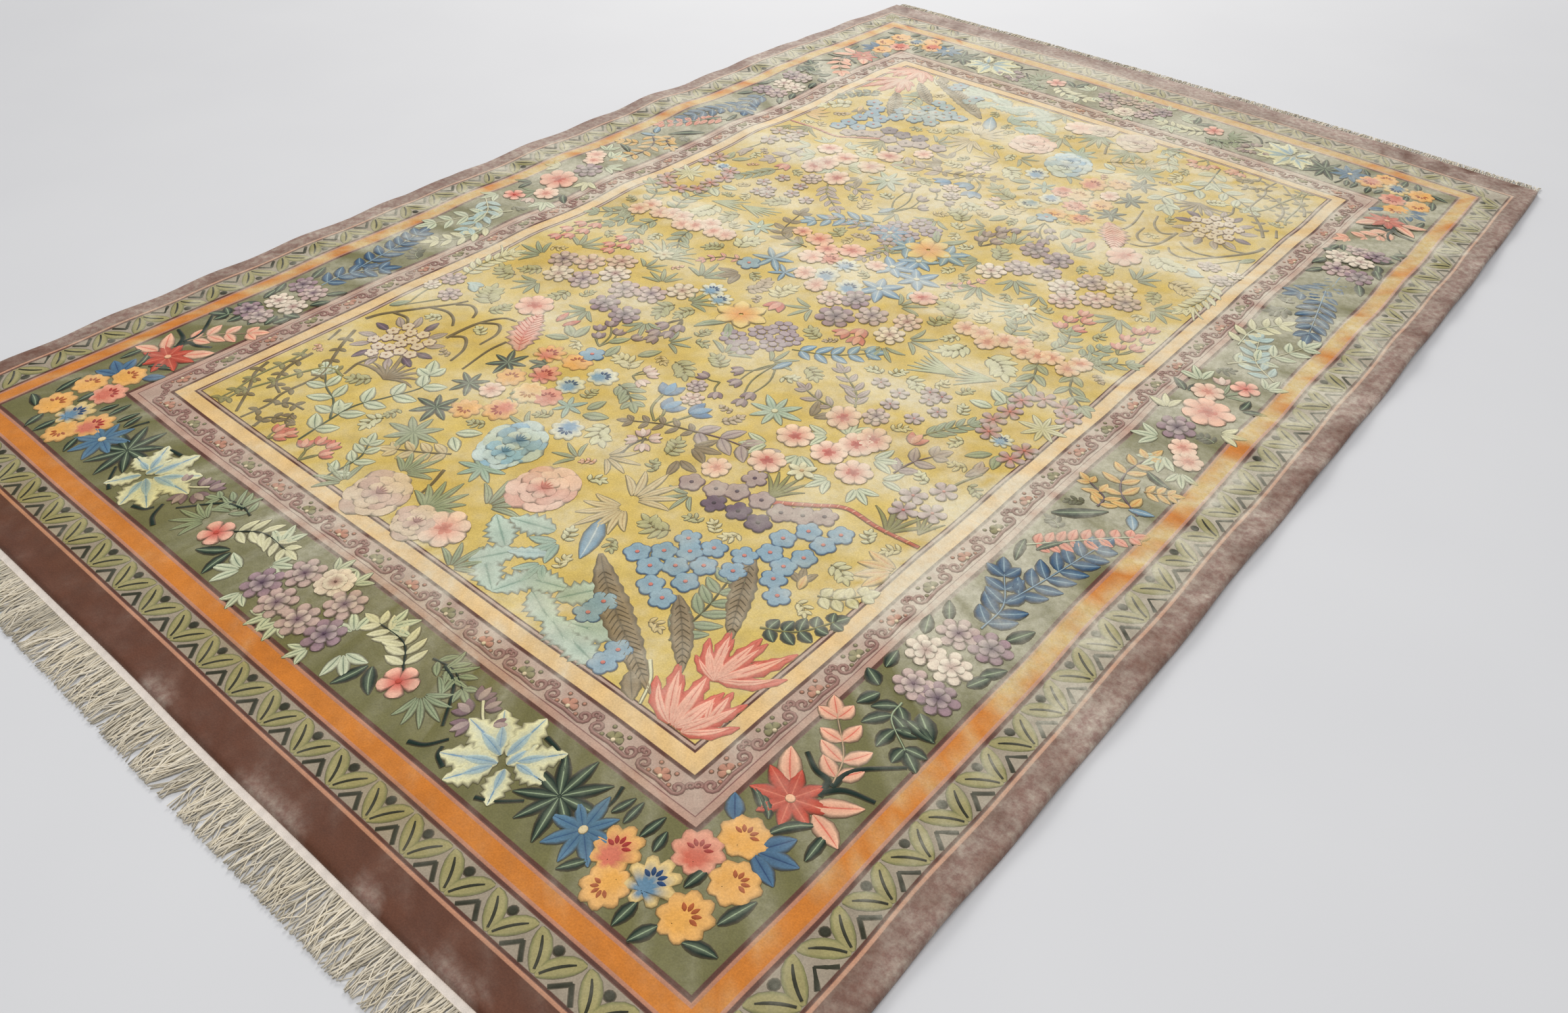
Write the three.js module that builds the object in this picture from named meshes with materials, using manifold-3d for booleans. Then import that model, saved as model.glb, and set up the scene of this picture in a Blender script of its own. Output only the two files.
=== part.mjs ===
// A hand-knotted Chinese carved-pile rug, nine feet by six, lying flat on a floor.
// Millimetres, +Z up, +Y along the rug, the end with the long fringe at -Y. The origin is
// the middle of the whole footprint, on the floor.
// Three solids: the pile slab, whose top face is carved along its border lines, and at
// each end a flat-woven strip with the fringe that grows out of it.
import * as THREE from 'three';
import { mergeVertices } from 'three/addons/utils/BufferGeometryUtils.js';
import Module from 'manifold-3d';

const wasm = await Module();
wasm.setup();

// The pile slab
const PILE_WIDTH = 1829;
const PILE_LENGTH = 2750;
const PILE_HEIGHT = 11.5;
const EDGE_HEIGHT = 7; // where the clipped edge starts to round over
const EDGE_ROUND = 5;
const HALF_WIDTH = PILE_WIDTH / 2;
const HALF_LENGTH = PILE_LENGTH / 2;

// The plain outer band
const OUTER_SIDE = 40;
const OUTER_NEAR = 53;
const OUTER_FAR = 70;
const PATTERN_CENTRE = (OUTER_NEAR - OUTER_FAR) / 2;
const PATTERN_HALF_LENGTH = HALF_LENGTH - (OUTER_NEAR + OUTER_FAR) / 2;

// The border from the plain band inwards, with its widths along the sides and the ends.
// A carved line is cut down into the pile.
const BORDER = [
  { name: 'outer guard, pink', side: 4.5, end: 4.5, carved: false },
  { name: 'outer guard, dark', side: 4.5, end: 4.5, carved: true },
  { name: 'leaf band', side: 45, end: 47, carved: false },
  { name: 'leaf band guard, dark', side: 5.5, end: 5.5, carved: true },
  { name: 'orange band between pink guards', side: 32, end: 33, carved: false },
  { name: 'main border guard, dark', side: 5.5, end: 6, carved: true },
  { name: 'main border', side: 122, end: 132, carved: false },
  { name: 'scroll band guard, dark', side: 6.5, end: 6.5, carved: true },
  { name: 'scroll band', side: 46, end: 47.5, carved: false },
  { name: 'cream band guard, dark', side: 5.5, end: 5.5, carved: true },
  { name: 'cream band', side: 22.5, end: 23, carved: false },
  { name: 'field guard, dark', side: 5, end: 5, carved: true },
  { name: 'field guard, mauve', side: 5, end: 5, carved: false },
];
const CARVED_DEPTH = 2;

// The rug isn't quite square: its long sides bow out, and its far end is drawn askew.
const SIDE_BOW = 29;
const FAR_SKEW = 0.02;
const FAR_BOW = 25;
const FAR_FROM = 500;
const FAR_FULL = 1300;

// The border swells outwards at the right, most at its near half, and at the near end.
const SIDE_SWELL = 17;
const SIDE_SWELL_LOSS = 9.5;
const SIDE_SWELL_X = [600, 950];
const SIDE_SWELL_Y = [-500, 300];
const RIGHT_BOW_Y = [-200, 700];
const NEAR_SWELL = 12;
const NEAR_SWELL_Y = [1090, 1235];

// Soft cross waves left by folding, and the ripple of the long edges
const RIDGES = [
  { at: 905, height: 6, slant: 0.03 },
  { at: 735, height: 6, slant: -0.02 },
  { at: 430, height: 8, slant: 0.05 },
  { at: 15, height: 6, slant: 0.02 },
  { at: -290, height: 4.5, slant: -0.04 },
  { at: -560, height: 3, slant: 0.03 },
];
const RIDGE_WIDTH = 70;
const RIPPLE_HEIGHT = 4;
const RIPPLE_REACH = 60;
const CALM_FROM = 1130; // past this the ends lie flat
const CALM_FULL = 1280;

// How finely the slab is divided along and across
const STEPS_LONG = 28;
const STEPS_SHORT = 19;
const STEP_LONG = PILE_LENGTH / STEPS_LONG;

// The woven end strips and their fringes
const SEAM_GAP = 0.4;
const STRIP_WIDTH = 10;
const STRIP_HEIGHT = 3.5;
const STRIP_INSET = 2;
const LOCKS = 120;
const LOCK_WIDTH = 7;
const LOCK_HEIGHT = 2.6;
const LOCK_TIP = 0.5; // the tip's share of the lock's width
const LOCK_TIP_DROP = 0.3; // and how much lower it is than the root
const LOCK_ROOT = 4; // how far a lock runs into its strip
const LOCK_UNEVEN = 0.1; // how much the locks' lengths differ
const ENDS = [
  { name: 'fringe_near', side: -1, length: 62, segments: 3, sway: 3.5 },
  { name: 'fringe_far', side: 1, length: 30, segments: 2, sway: 2 },
];

const COLOURS = { pile: 0xc9a23f, fringe: 0xd9d2bf };

function smoothstep(from, to, value) {
  const t = Math.min(1, Math.max(0, (value - from) / (to - from)));
  return t * t * (3 - 2 * t);
}

// Where a point of the squared-up rug lies on the real one
function bent(x, y) {
  const across = x / HALF_WIDTH;
  const along = y / HALF_LENGTH;
  const far = smoothstep(FAR_FROM, FAR_FULL, y);
  const near = smoothstep(...NEAR_SWELL_Y, -y);
  const bow = x > 0 ? smoothstep(...RIGHT_BOW_Y, y) : 1;
  const swell = SIDE_SWELL - SIDE_SWELL_LOSS * smoothstep(...SIDE_SWELL_Y, y);
  return {
    x: x - bow * SIDE_BOW * across ** 3 * along * along + swell * smoothstep(...SIDE_SWELL_X, x),
    y: y - far * (FAR_SKEW * x + FAR_BOW * across * across) - NEAR_SWELL * near,
  };
}

// How high the rug's underside stands off the floor
function lift(x, y) {
  const calm = 1 - smoothstep(CALM_FROM, CALM_FULL, Math.abs(y));
  const ridges = RIDGES.reduce((sum, ridge) => {
    const from = (y - ridge.at - ridge.slant * x) / RIDGE_WIDTH;
    return sum + ridge.height * Math.exp(-from * from);
  }, 0);
  const fromEdge = (HALF_WIDTH - Math.abs(x)) / RIPPLE_REACH;
  const turn = (Math.PI * (y + HALF_LENGTH)) / STEP_LONG;
  const ripple = RIPPLE_HEIGHT * (0.5 + 0.5 * Math.cos(turn)) * Math.exp(-fromEdge * fromEdge);
  return calm * Math.max(ridges, ripple);
}

function placed(x, y, height) {
  const at = bent(x, y);
  return new THREE.Vector3(at.x, at.y, height + lift(x, y));
}

// The corners of a rectangular loop, by its distance in from the slab's edge
function edgeLoop(inwards, height) {
  const halfX = HALF_WIDTH - inwards;
  const halfY = HALF_LENGTH - inwards;
  return { left: -halfX, right: halfX, near: -halfY, far: halfY, height };
}

// The same inside the plain outer band, by the width of border that it leaves outside
function borderLoop({ side, end }, height) {
  const halfX = HALF_WIDTH - OUTER_SIDE - side;
  const halfY = PATTERN_HALF_LENGTH - end;
  return {
    left: -halfX,
    right: halfX,
    near: PATTERN_CENTRE - halfY,
    far: PATTERN_CENTRE + halfY,
    height,
  };
}

// The loop's point in column i of STEPS_SHORT and row j of STEPS_LONG
function loopPoint({ left, right, near, far, height }, i, j) {
  const x = left + ((right - left) * i) / STEPS_SHORT;
  const y = near + ((far - near) * j) / STEPS_LONG;
  return placed(x, y, height);
}

// The columns and rows of one turn round a loop, anticlockwise from the near left corner
function turnRound() {
  const steps = (count, at) => Array.from({ length: count }, (_, k) => at(k));
  return [
    ...steps(STEPS_SHORT, (k) => [k, 0]),
    ...steps(STEPS_LONG, (k) => [STEPS_SHORT, k]),
    ...steps(STEPS_SHORT, (k) => [STEPS_SHORT - k, STEPS_LONG]),
    ...steps(STEPS_LONG, (k) => [0, STEPS_LONG - k]),
  ];
}

// A closed surface through a run of loops, with a grid of faces inside the first, which is
// the top, and inside the last, which is the underside
function loopSurface(loops) {
  const turn = turnRound();
  const points = loops.flatMap((loop) => turn.map(([i, j]) => loopPoint(loop, i, j)));
  const index = [];
  const quad = (a, b, c, d) => index.push(a, b, c, a, c, d);
  const at = (ring, k) => ring * turn.length + (k % turn.length);
  for (let ring = 0; ring + 1 < loops.length; ring += 1) {
    for (let k = 0; k < turn.length; k += 1) {
      quad(at(ring, k), at(ring + 1, k), at(ring + 1, k + 1), at(ring, k + 1));
    }
  }
  const ringAt = new Map(turn.map(([i, j], k) => [`${i},${j}`, k]));
  [0, loops.length - 1].forEach((ring) => {
    const grid = [];
    for (let i = 0; i <= STEPS_SHORT; i += 1) {
      for (let j = 0; j <= STEPS_LONG; j += 1) {
        const onRing = ringAt.get(`${i},${j}`);
        grid.push(onRing === undefined ? points.length : at(ring, onRing));
        if (onRing === undefined) points.push(loopPoint(loops[ring], i, j));
      }
    }
    const cell = (i, j) => grid[i * (STEPS_LONG + 1) + j];
    for (let i = 0; i < STEPS_SHORT; i += 1) {
      for (let j = 0; j < STEPS_LONG; j += 1) {
        const around = [cell(i, j), cell(i + 1, j), cell(i + 1, j + 1), cell(i, j + 1)];
        quad(...(ring === 0 ? around : around.reverse()));
      }
    }
  });
  return new THREE.BufferGeometry().setFromPoints(points).setIndex(index);
}

function pileRug() {
  const start = { side: 0, end: 0 };
  const carved = [];
  BORDER.forEach((band) => {
    const along = (share) => ({
      side: start.side + band.side * share,
      end: start.end + band.end * share,
    });
    if (band.carved) {
      carved.push(
        borderLoop(along(0), PILE_HEIGHT),
        borderLoop(along(0.5), PILE_HEIGHT - CARVED_DEPTH),
        borderLoop(along(1), PILE_HEIGHT),
      );
    }
    Object.assign(start, along(1));
  });
  const top = [edgeLoop(0, EDGE_HEIGHT), edgeLoop(EDGE_ROUND, PILE_HEIGHT), ...carved];
  const underside = [edgeLoop(0, 0), edgeLoop(RIPPLE_REACH * 2, 0)];
  return loopSurface([...top.reverse(), ...underside]);
}

// A three.js geometry as a solid for joining
function solid(geometry) {
  const bare = geometry.clone();
  bare.deleteAttribute('normal');
  bare.deleteAttribute('uv');
  const merged = mergeVertices(bare, 1e-4);
  return new wasm.Manifold(
    new wasm.Mesh({
      numProp: 3,
      vertProperties: merged.getAttribute('position').array,
      triVerts: new Uint32Array(merged.index.array),
    }),
  );
}

function geometryOf(manifold) {
  const mesh = manifold.getMesh();
  return new THREE.BufferGeometry()
    .setAttribute('position', new THREE.BufferAttribute(mesh.vertProperties, 3))
    .setIndex(new THREE.BufferAttribute(mesh.triVerts, 1));
}

// One lock of fringe threads: three-sided, flat on the floor, swaying as it runs out
function lock(rootX, startY, end, number) {
  const reach = LOCK_ROOT + end.length * (1 - LOCK_UNEVEN * (1 - Math.cos(2.3 * number)));
  const sections = [];
  for (let k = 0; k <= end.segments; k += 1) {
    const t = k / end.segments;
    const half = (LOCK_WIDTH / 2) * (1 - (1 - LOCK_TIP) * t);
    const x = rootX + end.sway * t * Math.sin(1.7 * number + 2.4 * t);
    const y = startY + end.side * (reach * t - LOCK_ROOT);
    sections.push([x - half, y, 0], [x + half, y, 0], [x, y, LOCK_HEIGHT * (1 - LOCK_TIP_DROP * t)]);
  }
  const outwards = end.side < 0 ? [0, 1, 2] : [0, 2, 1];
  const index = [...outwards].reverse();
  for (let k = 0; k < end.segments; k += 1) {
    for (let side = 0; side < 3; side += 1) {
      const a = 3 * k + outwards[side];
      const b = 3 * k + outwards[(side + 1) % 3];
      index.push(a, b, b + 3, a, b + 3, a + 3);
    }
  }
  index.push(...outwards.map((corner) => corner + 3 * end.segments));
  return new THREE.BufferGeometry()
    .setAttribute('position', new THREE.Float32BufferAttribute(sections.flat(), 3))
    .setIndex(index);
}

// The flat-woven end strip with its locks fused in
function fringe(end) {
  const halfWidth = HALF_WIDTH - STRIP_INSET;
  const inner = end.side * (HALF_LENGTH + SEAM_GAP);
  const outer = inner + end.side * STRIP_WIDTH;
  const strip = new THREE.BoxGeometry(2 * halfWidth, STRIP_WIDTH, STRIP_HEIGHT, STEPS_SHORT);
  strip.translate(0, (inner + outer) / 2, STRIP_HEIGHT / 2);
  const pitch = (2 * halfWidth - LOCK_WIDTH) / (LOCKS - 1);
  let joined = solid(strip);
  for (let number = 0; number < LOCKS; number += 1) {
    const rootX = -halfWidth + LOCK_WIDTH / 2 + pitch * number;
    joined = joined.add(solid(lock(rootX, outer, end, number)));
  }
  const geometry = geometryOf(joined);
  const position = geometry.getAttribute('position');
  for (let k = 0; k < position.count; k += 1) {
    const at = bent(position.getX(k), position.getY(k));
    position.setXY(k, at.x, at.y);
  }
  return geometry;
}

function piece(name, geometry, colour) {
  const material = new THREE.MeshStandardMaterial({ color: colour, roughness: 0.9, metalness: 0 });
  const mesh = new THREE.Mesh(geometry, material);
  mesh.name = name;
  return mesh;
}

const rug = new THREE.Group();
rug.add(piece('pile_rug', pileRug(), COLOURS.pile));
ENDS.forEach((end) => rug.add(piece(end.name, fringe(end), COLOURS.fringe)));

// The origin is the middle of the footprint, fringes included.
const footprint = new THREE.Box3().setFromObject(rug);
const middle = footprint.getCenter(new THREE.Vector3());
rug.position.set(-middle.x, -middle.y, 0);

export default rug;
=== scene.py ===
# The looks of a hand-knotted Chinese carved-pile rug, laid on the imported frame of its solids.
# Metres, +Z up, +Y along the rug. The design is laid out in pattern places (u, v): u across
# the rug and v along it, from the middle of the field, on the rug as if it lay square.
import math

import bpy
import numpy as np
from mathutils import Euler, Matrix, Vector


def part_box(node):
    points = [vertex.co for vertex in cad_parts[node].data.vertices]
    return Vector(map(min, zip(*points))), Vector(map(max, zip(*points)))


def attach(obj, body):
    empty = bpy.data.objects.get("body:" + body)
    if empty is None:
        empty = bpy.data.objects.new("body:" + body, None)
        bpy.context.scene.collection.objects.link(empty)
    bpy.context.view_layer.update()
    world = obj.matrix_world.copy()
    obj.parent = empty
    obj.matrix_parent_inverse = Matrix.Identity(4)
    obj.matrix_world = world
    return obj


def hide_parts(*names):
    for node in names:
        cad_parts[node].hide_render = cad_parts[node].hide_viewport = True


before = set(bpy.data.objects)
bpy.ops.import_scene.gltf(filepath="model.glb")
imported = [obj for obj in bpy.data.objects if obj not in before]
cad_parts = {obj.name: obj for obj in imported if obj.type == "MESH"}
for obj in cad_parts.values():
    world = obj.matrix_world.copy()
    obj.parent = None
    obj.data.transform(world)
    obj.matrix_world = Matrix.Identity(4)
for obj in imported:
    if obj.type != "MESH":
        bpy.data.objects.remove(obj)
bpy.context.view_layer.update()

MM = 0.001
rng = np.random.default_rng(11)

# The camera, as the photograph was taken
PHOTO_WIDTH = 2384
PHOTO_FOCAL_PIXELS = 1883.5
SENSOR_WIDTH = 36.0
CAMERA_PLACE = (1.2607, -1.6748, 1.1916)  # from the middle of the pile as if it lay square
CAMERA_TURN = (50.19, -0.87, 40.48)

# The rug's build, the same sizes as the solids
PILE_WIDTH = 1.829
PILE_LENGTH = 2.750
PILE_HEIGHT = 11.5 * MM
HALF_WIDTH = PILE_WIDTH / 2
HALF_LENGTH = PILE_LENGTH / 2
OUTER_SIDE = 40 * MM
OUTER_NEAR = 53 * MM
OUTER_FAR = 70 * MM
PATTERN_CENTRE = (OUTER_NEAR - OUTER_FAR) / 2
PATTERN_HALF_LENGTH = HALF_LENGTH - (OUTER_NEAR + OUTER_FAR) / 2
PATTERN_HALF_WIDTH = HALF_WIDTH - OUTER_SIDE
SIDE_BOW = 29 * MM
FAR_SKEW = 0.02
FAR_BOW = 25 * MM
FAR_FROM = 0.5
FAR_FULL = 1.3
SIDE_SWELL = 17 * MM
SIDE_SWELL_LOSS = 9.5 * MM
SIDE_SWELL_X = (0.6, 0.95)
SIDE_SWELL_Y = (-0.5, 0.3)
RIGHT_BOW_Y = (-0.2, 0.7)
NEAR_SWELL = 12 * MM
NEAR_SWELL_Y = (1.09, 1.235)
LEFT_EDGE_X, NEAR_EDGE_Y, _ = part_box("pile_rug")[0]
SHIFT_X = LEFT_EDGE_X + HALF_WIDTH
SHIFT_Y = NEAR_EDGE_Y + HALF_LENGTH + NEAR_SWELL
RIDGES = [  # place along the rug, height, slant
    (0.905, 6 * MM, 0.03),
    (0.735, 6 * MM, -0.02),
    (0.430, 8 * MM, 0.05),
    (0.015, 6 * MM, 0.02),
    (-0.290, 4.5 * MM, -0.04),
    (-0.560, 3 * MM, 0.03),
]
RIDGE_WIDTH = 0.07
RIPPLE_HEIGHT = 4 * MM
RIPPLE_REACH = 0.06
RIPPLE_STEPS = 28
CALM_FROM = 1.13
CALM_FULL = 1.28
STRIP_WIDTH = 10 * MM
SEAM_GAP = 0.4 * MM


def shade(red, green, blue):
    """A colour as the eye reads it, 0 to 255, as the linear values that the shaders use."""
    part = np.array([red, green, blue]) / 255
    return np.where(part > 0.04045, ((part + 0.055) / 1.055) ** 2.4, part / 12.92)


def mixed(one, other, share):
    share = np.asarray(share)[..., None]
    return np.asarray(one) * (1 - share) + np.asarray(other) * share


# The colours of the yarns
GOLD = shade(214, 186, 102)
OLIVE = shade(114, 110, 67)
BROWN = shade(100, 62, 45)
PINK_LINE = shade(192, 138, 108)
ROSE_MARGIN = shade(188, 150, 130)
DARK_LINE = shade(106, 68, 56)
ORANGE_GUARD = shade(188, 130, 102)
TAUPE = shade(160, 146, 126)
ORANGE = shade(206, 124, 44)
MAUVE = shade(186, 157, 139)
CREAM = shade(228, 190, 130)
MAUVE_LINE = shade(148, 104, 96)
# painted sheen: the colours that the pile's painted sheen goes towards; SILVER is also mixed into
# the inner petals of double flowers
SILVER = shade(236, 230, 208)
ROSE_SILVER = shade(208, 180, 168)
GOLD_SILVER = shade(228, 206, 142)
COTTON = shade(240, 230, 210)
WEB = shade(255, 242, 228)
# painted shade: the dark of the carved grooves round the forms, and of their rims
GROOVE_SHADE = shade(70, 60, 42)

# The border from the plain band inwards: widths along the sides and the ends, yarn, depth
# of the carved line
BORDER = [
    ("outer guard, pink", 4.5, 4.5, PINK_LINE, 0),
    ("outer guard, dark", 4.5, 4.5, DARK_LINE, 1.6),
    ("leaf band", 45, 47, TAUPE, 0),
    ("leaf band guard, dark", 5.5, 5.5, DARK_LINE, 1.8),
    ("orange band guard", 4.5, 4.5, ORANGE_GUARD, 0),
    ("orange band", 23, 24, ORANGE, 0),
    ("orange band inner guard", 4.5, 4.5, ORANGE_GUARD, 0),
    ("main border guard, dark", 5.5, 6, DARK_LINE, 1.8),
    ("main border", 122, 132, OLIVE, 0),
    ("scroll band guard, dark", 6.5, 6.5, DARK_LINE, 1.8),
    ("scroll band margin", 9.5, 9.5, ROSE_MARGIN, 0),
    ("scroll band line", 1.5, 1.5, MAUVE_LINE, 0),
    ("scroll band", 35, 36.5, MAUVE, 0),
    ("cream band guard, dark", 5.5, 5.5, DARK_LINE, 1.6),
    ("cream band", 22.5, 23, CREAM, 0),
    ("field guard, dark", 3.5, 3.5, DARK_LINE, 1.4),
    ("field guard, mauve", 4, 4, MAUVE, 0),
    ("field line, dark", 2.5, 2.5, DARK_LINE, 1.0),
]


def band_start(name):
    """How far in from the plain outer band a band starts, at the sides and at the ends."""
    side = end = 0.0
    for band, width, end_width, _, _ in BORDER:
        if band == name:
            return side * MM, end * MM
        side += width
        end += end_width
    return side * MM, end * MM


def smoothstep(start, stop, value):
    t = np.clip((value - start) / (stop - start), 0, 1)
    return t * t * (3 - 2 * t)


def ripples(u, v, scale, seed, waves=7):
    """Smooth, even noise from about -1 to 1: a few plane waves of a given length."""
    draw = np.random.default_rng(seed)
    total = np.zeros(np.broadcast(u, v).shape)
    for _ in range(waves):
        turn = draw.uniform(0, 2 * math.pi)
        length = scale * draw.uniform(0.6, 1.7)
        phase = draw.uniform(0, 2 * math.pi)
        along = (u * math.cos(turn) + v * math.sin(turn)) / length
        total = total + np.sin(2 * math.pi * along + phase)
    return total / math.sqrt(waves)


def lift(x, y):
    """How high the rug's underside stands off the floor."""
    calm = 1 - smoothstep(CALM_FROM, CALM_FULL, np.abs(y))
    ridges = 0
    for at, height, slant in RIDGES:
        ridges = ridges + height * np.exp(-(((y - at - slant * x) / RIDGE_WIDTH) ** 2))
    from_edge = (HALF_WIDTH - np.abs(x)) / RIPPLE_REACH
    turn = math.pi * (y + HALF_LENGTH) * RIPPLE_STEPS / PILE_LENGTH
    ripple = RIPPLE_HEIGHT * (0.5 + 0.5 * np.cos(turn)) * np.exp(-(from_edge**2))
    return calm * np.maximum(ridges, ripple)


WANDER = 1.3 * MM  # how far the knotted lines stray from straight


def laid(points):
    """Pattern places (u, v, height over the pile) as places on the real rug."""
    u, v, height = points[:, 0], points[:, 1], points[:, 2]
    x = u + WANDER * ripples(u, v, 0.25, 3)
    y = v + PATTERN_CENTRE + WANDER * ripples(u, v, 0.3, 4)
    across = x / HALF_WIDTH
    along = y / HALF_LENGTH
    far = smoothstep(FAR_FROM, FAR_FULL, y)
    near = smoothstep(*NEAR_SWELL_Y, -y)
    bow = np.where(x > 0, smoothstep(*RIGHT_BOW_Y, y), 1) * SIDE_BOW * across**3 * along**2
    swell = SIDE_SWELL - SIDE_SWELL_LOSS * smoothstep(*SIDE_SWELL_Y, y)
    bent_x = x - bow + swell * smoothstep(*SIDE_SWELL_X, x)
    bent_y = y - far * (FAR_SKEW * x + FAR_BOW * across**2) - NEAR_SWELL * near
    z = PILE_HEIGHT + height + lift(x, y)
    return np.stack([bent_x + SHIFT_X, bent_y + SHIFT_Y, z], 1)


# Bars of painted sheen, painted highlights along the cross waves: place, width, strength, slant,
# middle of the bar across the rug, how far it reaches
SHEEN_BARS = [
    (0.915, 0.045, 0.50, 0.00, 0.10, 0.9),
    (0.760, 0.040, 0.62, -0.02, -0.35, 0.7),
    (0.425, 0.050, 0.78, 0.03, -0.25, 0.45),
    (0.455, 0.040, 0.60, 0.03, 0.55, 0.35),
    (0.020, 0.040, 0.62, 0.02, -0.45, 0.5),
    (0.045, 0.030, 0.50, 0.02, 0.50, 0.45),
    (-0.300, 0.035, 0.40, -0.04, 0.55, 0.5),
    (-0.640, 0.075, 0.30, 0.10, 0.70, 0.2),
    (-0.590, 0.070, 1.10, 0.30, 0.61, 0.075),
    (-0.770, 0.060, 1.10, 0.30, 0.60, 0.07),
    (-0.700, 0.050, 0.45, 0.10, 0.69, 0.07),
    (-0.180, 0.050, 0.40, 0.06, 0.75, 0.2),
    (0.220, 0.060, 0.50, 0.04, 0.72, 0.25),
    (0.560, 0.060, 0.45, 0.02, 0.20, 0.5),
    (-0.400, 0.030, 0.30, 0.03, -0.70, 0.35),
    (-0.700, 0.050, 0.25, 0.05, 0.80, 0.3),
    (-0.990, 0.040, 0.30, 0.03, 0.05, 0.5),
    (-1.060, 0.040, 0.45, 0.04, -0.02, 0.3),
]


FIELD_EDGE = (0.562, 0.575)  # where the border begins, from the middle of the rug
PLAIN_EDGE = (0.86, 0.88)  # where the plain band begins
SIDES_FROM = (-1.1, -0.2)  # where the painted sheen of the long borders sets in along the rug
SILVER_PAST = 2 * MM  # the painted sheen's silver turns rosy within this of the plain band's inner edge
ORANGE_END = (-28 * MM, -24 * MM)  # where the orange band ends, from its outer edge
PAINTED_SHADE_DEPTH = np.array([0.06, 0.11, 0.28])  # how much painted shade darkens the field between the sheen patches
SILVERING = 0.6  # how far full painted sheen takes the pile towards silver


def sheen_clouds(u, v):
    """Where the field gets broad patches of painted sheen that follow the cross waves, and painted
    shade between them.
    """
    return ripples(u * 0.6, v * 1.5, 0.24, 27)


def sheen_amount(u, v):
    """How much painted sheen a pattern place gets, from 0 to 1."""
    border = smoothstep(*FIELD_EDGE, np.abs(u))
    plain = smoothstep(*PLAIN_EDGE, np.abs(u))
    left = smoothstep(*SIDES_FROM, v) * (u < 0)
    right = smoothstep(*SIDES_FROM, v) * (u > 0)
    # everywhere: small patches of painted sheen, and more of it towards the far end
    sheen_share = 0.05 + 0.09 * ripples(u, v, 0.14, 21) + 0.10 * ripples(u, v, 0.035, 22)
    sheen_share = sheen_share + 0.10 * smoothstep(-0.4, 1.3, v)
    # painted sheen in the field's broad patches, and in the long borders' uneven ones
    patches = np.clip(sheen_clouds(u, v), 0, 1.4)
    sheen_share = sheen_share + (0.03 + 0.45 * patches) * (1 - border) * smoothstep(-1.0, -0.5, v)
    patchy = np.clip(1 + 0.9 * ripples(u, v, 0.1, 28), 0.1, 2)
    sheen_share = sheen_share + border * (0.34 * left + 0.25 * right) * (patchy + (1 - patchy) * plain)
    # painted sheen on the bands past the field's far end, and on the plain band along the sides
    sheen_share = sheen_share + 0.30 * smoothstep(0.98, 1.04, v) * (1 - border)
    side = plain * smoothstep(-1.42, -1.0, v)
    sheen_share = sheen_share + side * (0.40 - 0.34 * (left + right) + 0.07 * ripples(u * 0.3, v, 0.09, 23))
    sheen_share = sheen_share + 0.10 * border * (1 - plain) * ripples(u, v, 0.07, 26)
    for at, width, strength, slant, middle, reach in SHEEN_BARS:
        ragged = 0.016 * ripples(u, v * 0.2, 0.12, 31)
        off = (v - at - slant * u - ragged) / width
        across = np.exp(-(((u - middle) / reach) ** 4))
        patchy = 0.8 + 0.5 * ripples(u, v, 0.05, 24)
        sheen_share = sheen_share + strength * across * np.exp(-(off**2)) * patchy
    # less painted sheen towards the near end, and a lighter line along its plain band
    sheen_share = sheen_share * (0.3 + 0.7 * smoothstep(-1.3, -1.0, v))
    edge_streak = np.clip(ripples(u, 0 * u, 0.13, 25) - 0.2, 0, 0.35)
    sheen_share = sheen_share + edge_streak * np.exp(-(((v + 1.362) / 0.014) ** 2))
    return np.clip(sheen_share, 0, 0.85)


def painted_sheen(points, tints, share):
    """The tints with painted sheen, and the sheen's share. The sheen is painted silver, or rosy on
    the plain band and golden on the orange one, and between the sheen clouds the field gets painted
    shade."""
    u, v = points[:, 0], points[:, 1]
    sheen_share = sheen_amount(u, v)
    # painted sheen: the tints go towards silver, rosy on the plain band and golden on the orange
    # one
    past = np.maximum(np.abs(u) - PATTERN_HALF_WIDTH, np.abs(v) - PATTERN_HALF_LENGTH)
    silver = mixed(SILVER, ROSE_SILVER, smoothstep(-SILVER_PAST, SILVER_PAST, past))
    orange = -band_start("orange band")[0]
    start, stop = ORANGE_END
    golden = smoothstep(orange + start, orange + stop, past) * (past < orange)
    silver = mixed(silver, GOLD_SILVER, golden)
    tints = mixed(tints, GOLD_SILVER * 0.8, golden * np.clip(1.5 * sheen_share - 0.1, 0, 0.7))
    # painted shade: the field is darkened between the sheen clouds
    painted_shade = np.clip(-sheen_clouds(u, v), 0, 1.2) * (1 - smoothstep(0.56, 0.57, np.abs(u)))
    tints = tints * (1 - painted_shade[:, None] * PAINTED_SHADE_DEPTH)
    return mixed(tints, silver, sheen_share * SILVERING * share), sheen_share * share


def quads(index):
    """The four-cornered faces between the rows and columns of a grid of point numbers."""
    corners = [index[:-1, :-1], index[1:, :-1], index[1:, 1:], index[:-1, 1:]]
    return np.stack(corners, -1).reshape(-1, 4)


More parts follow.
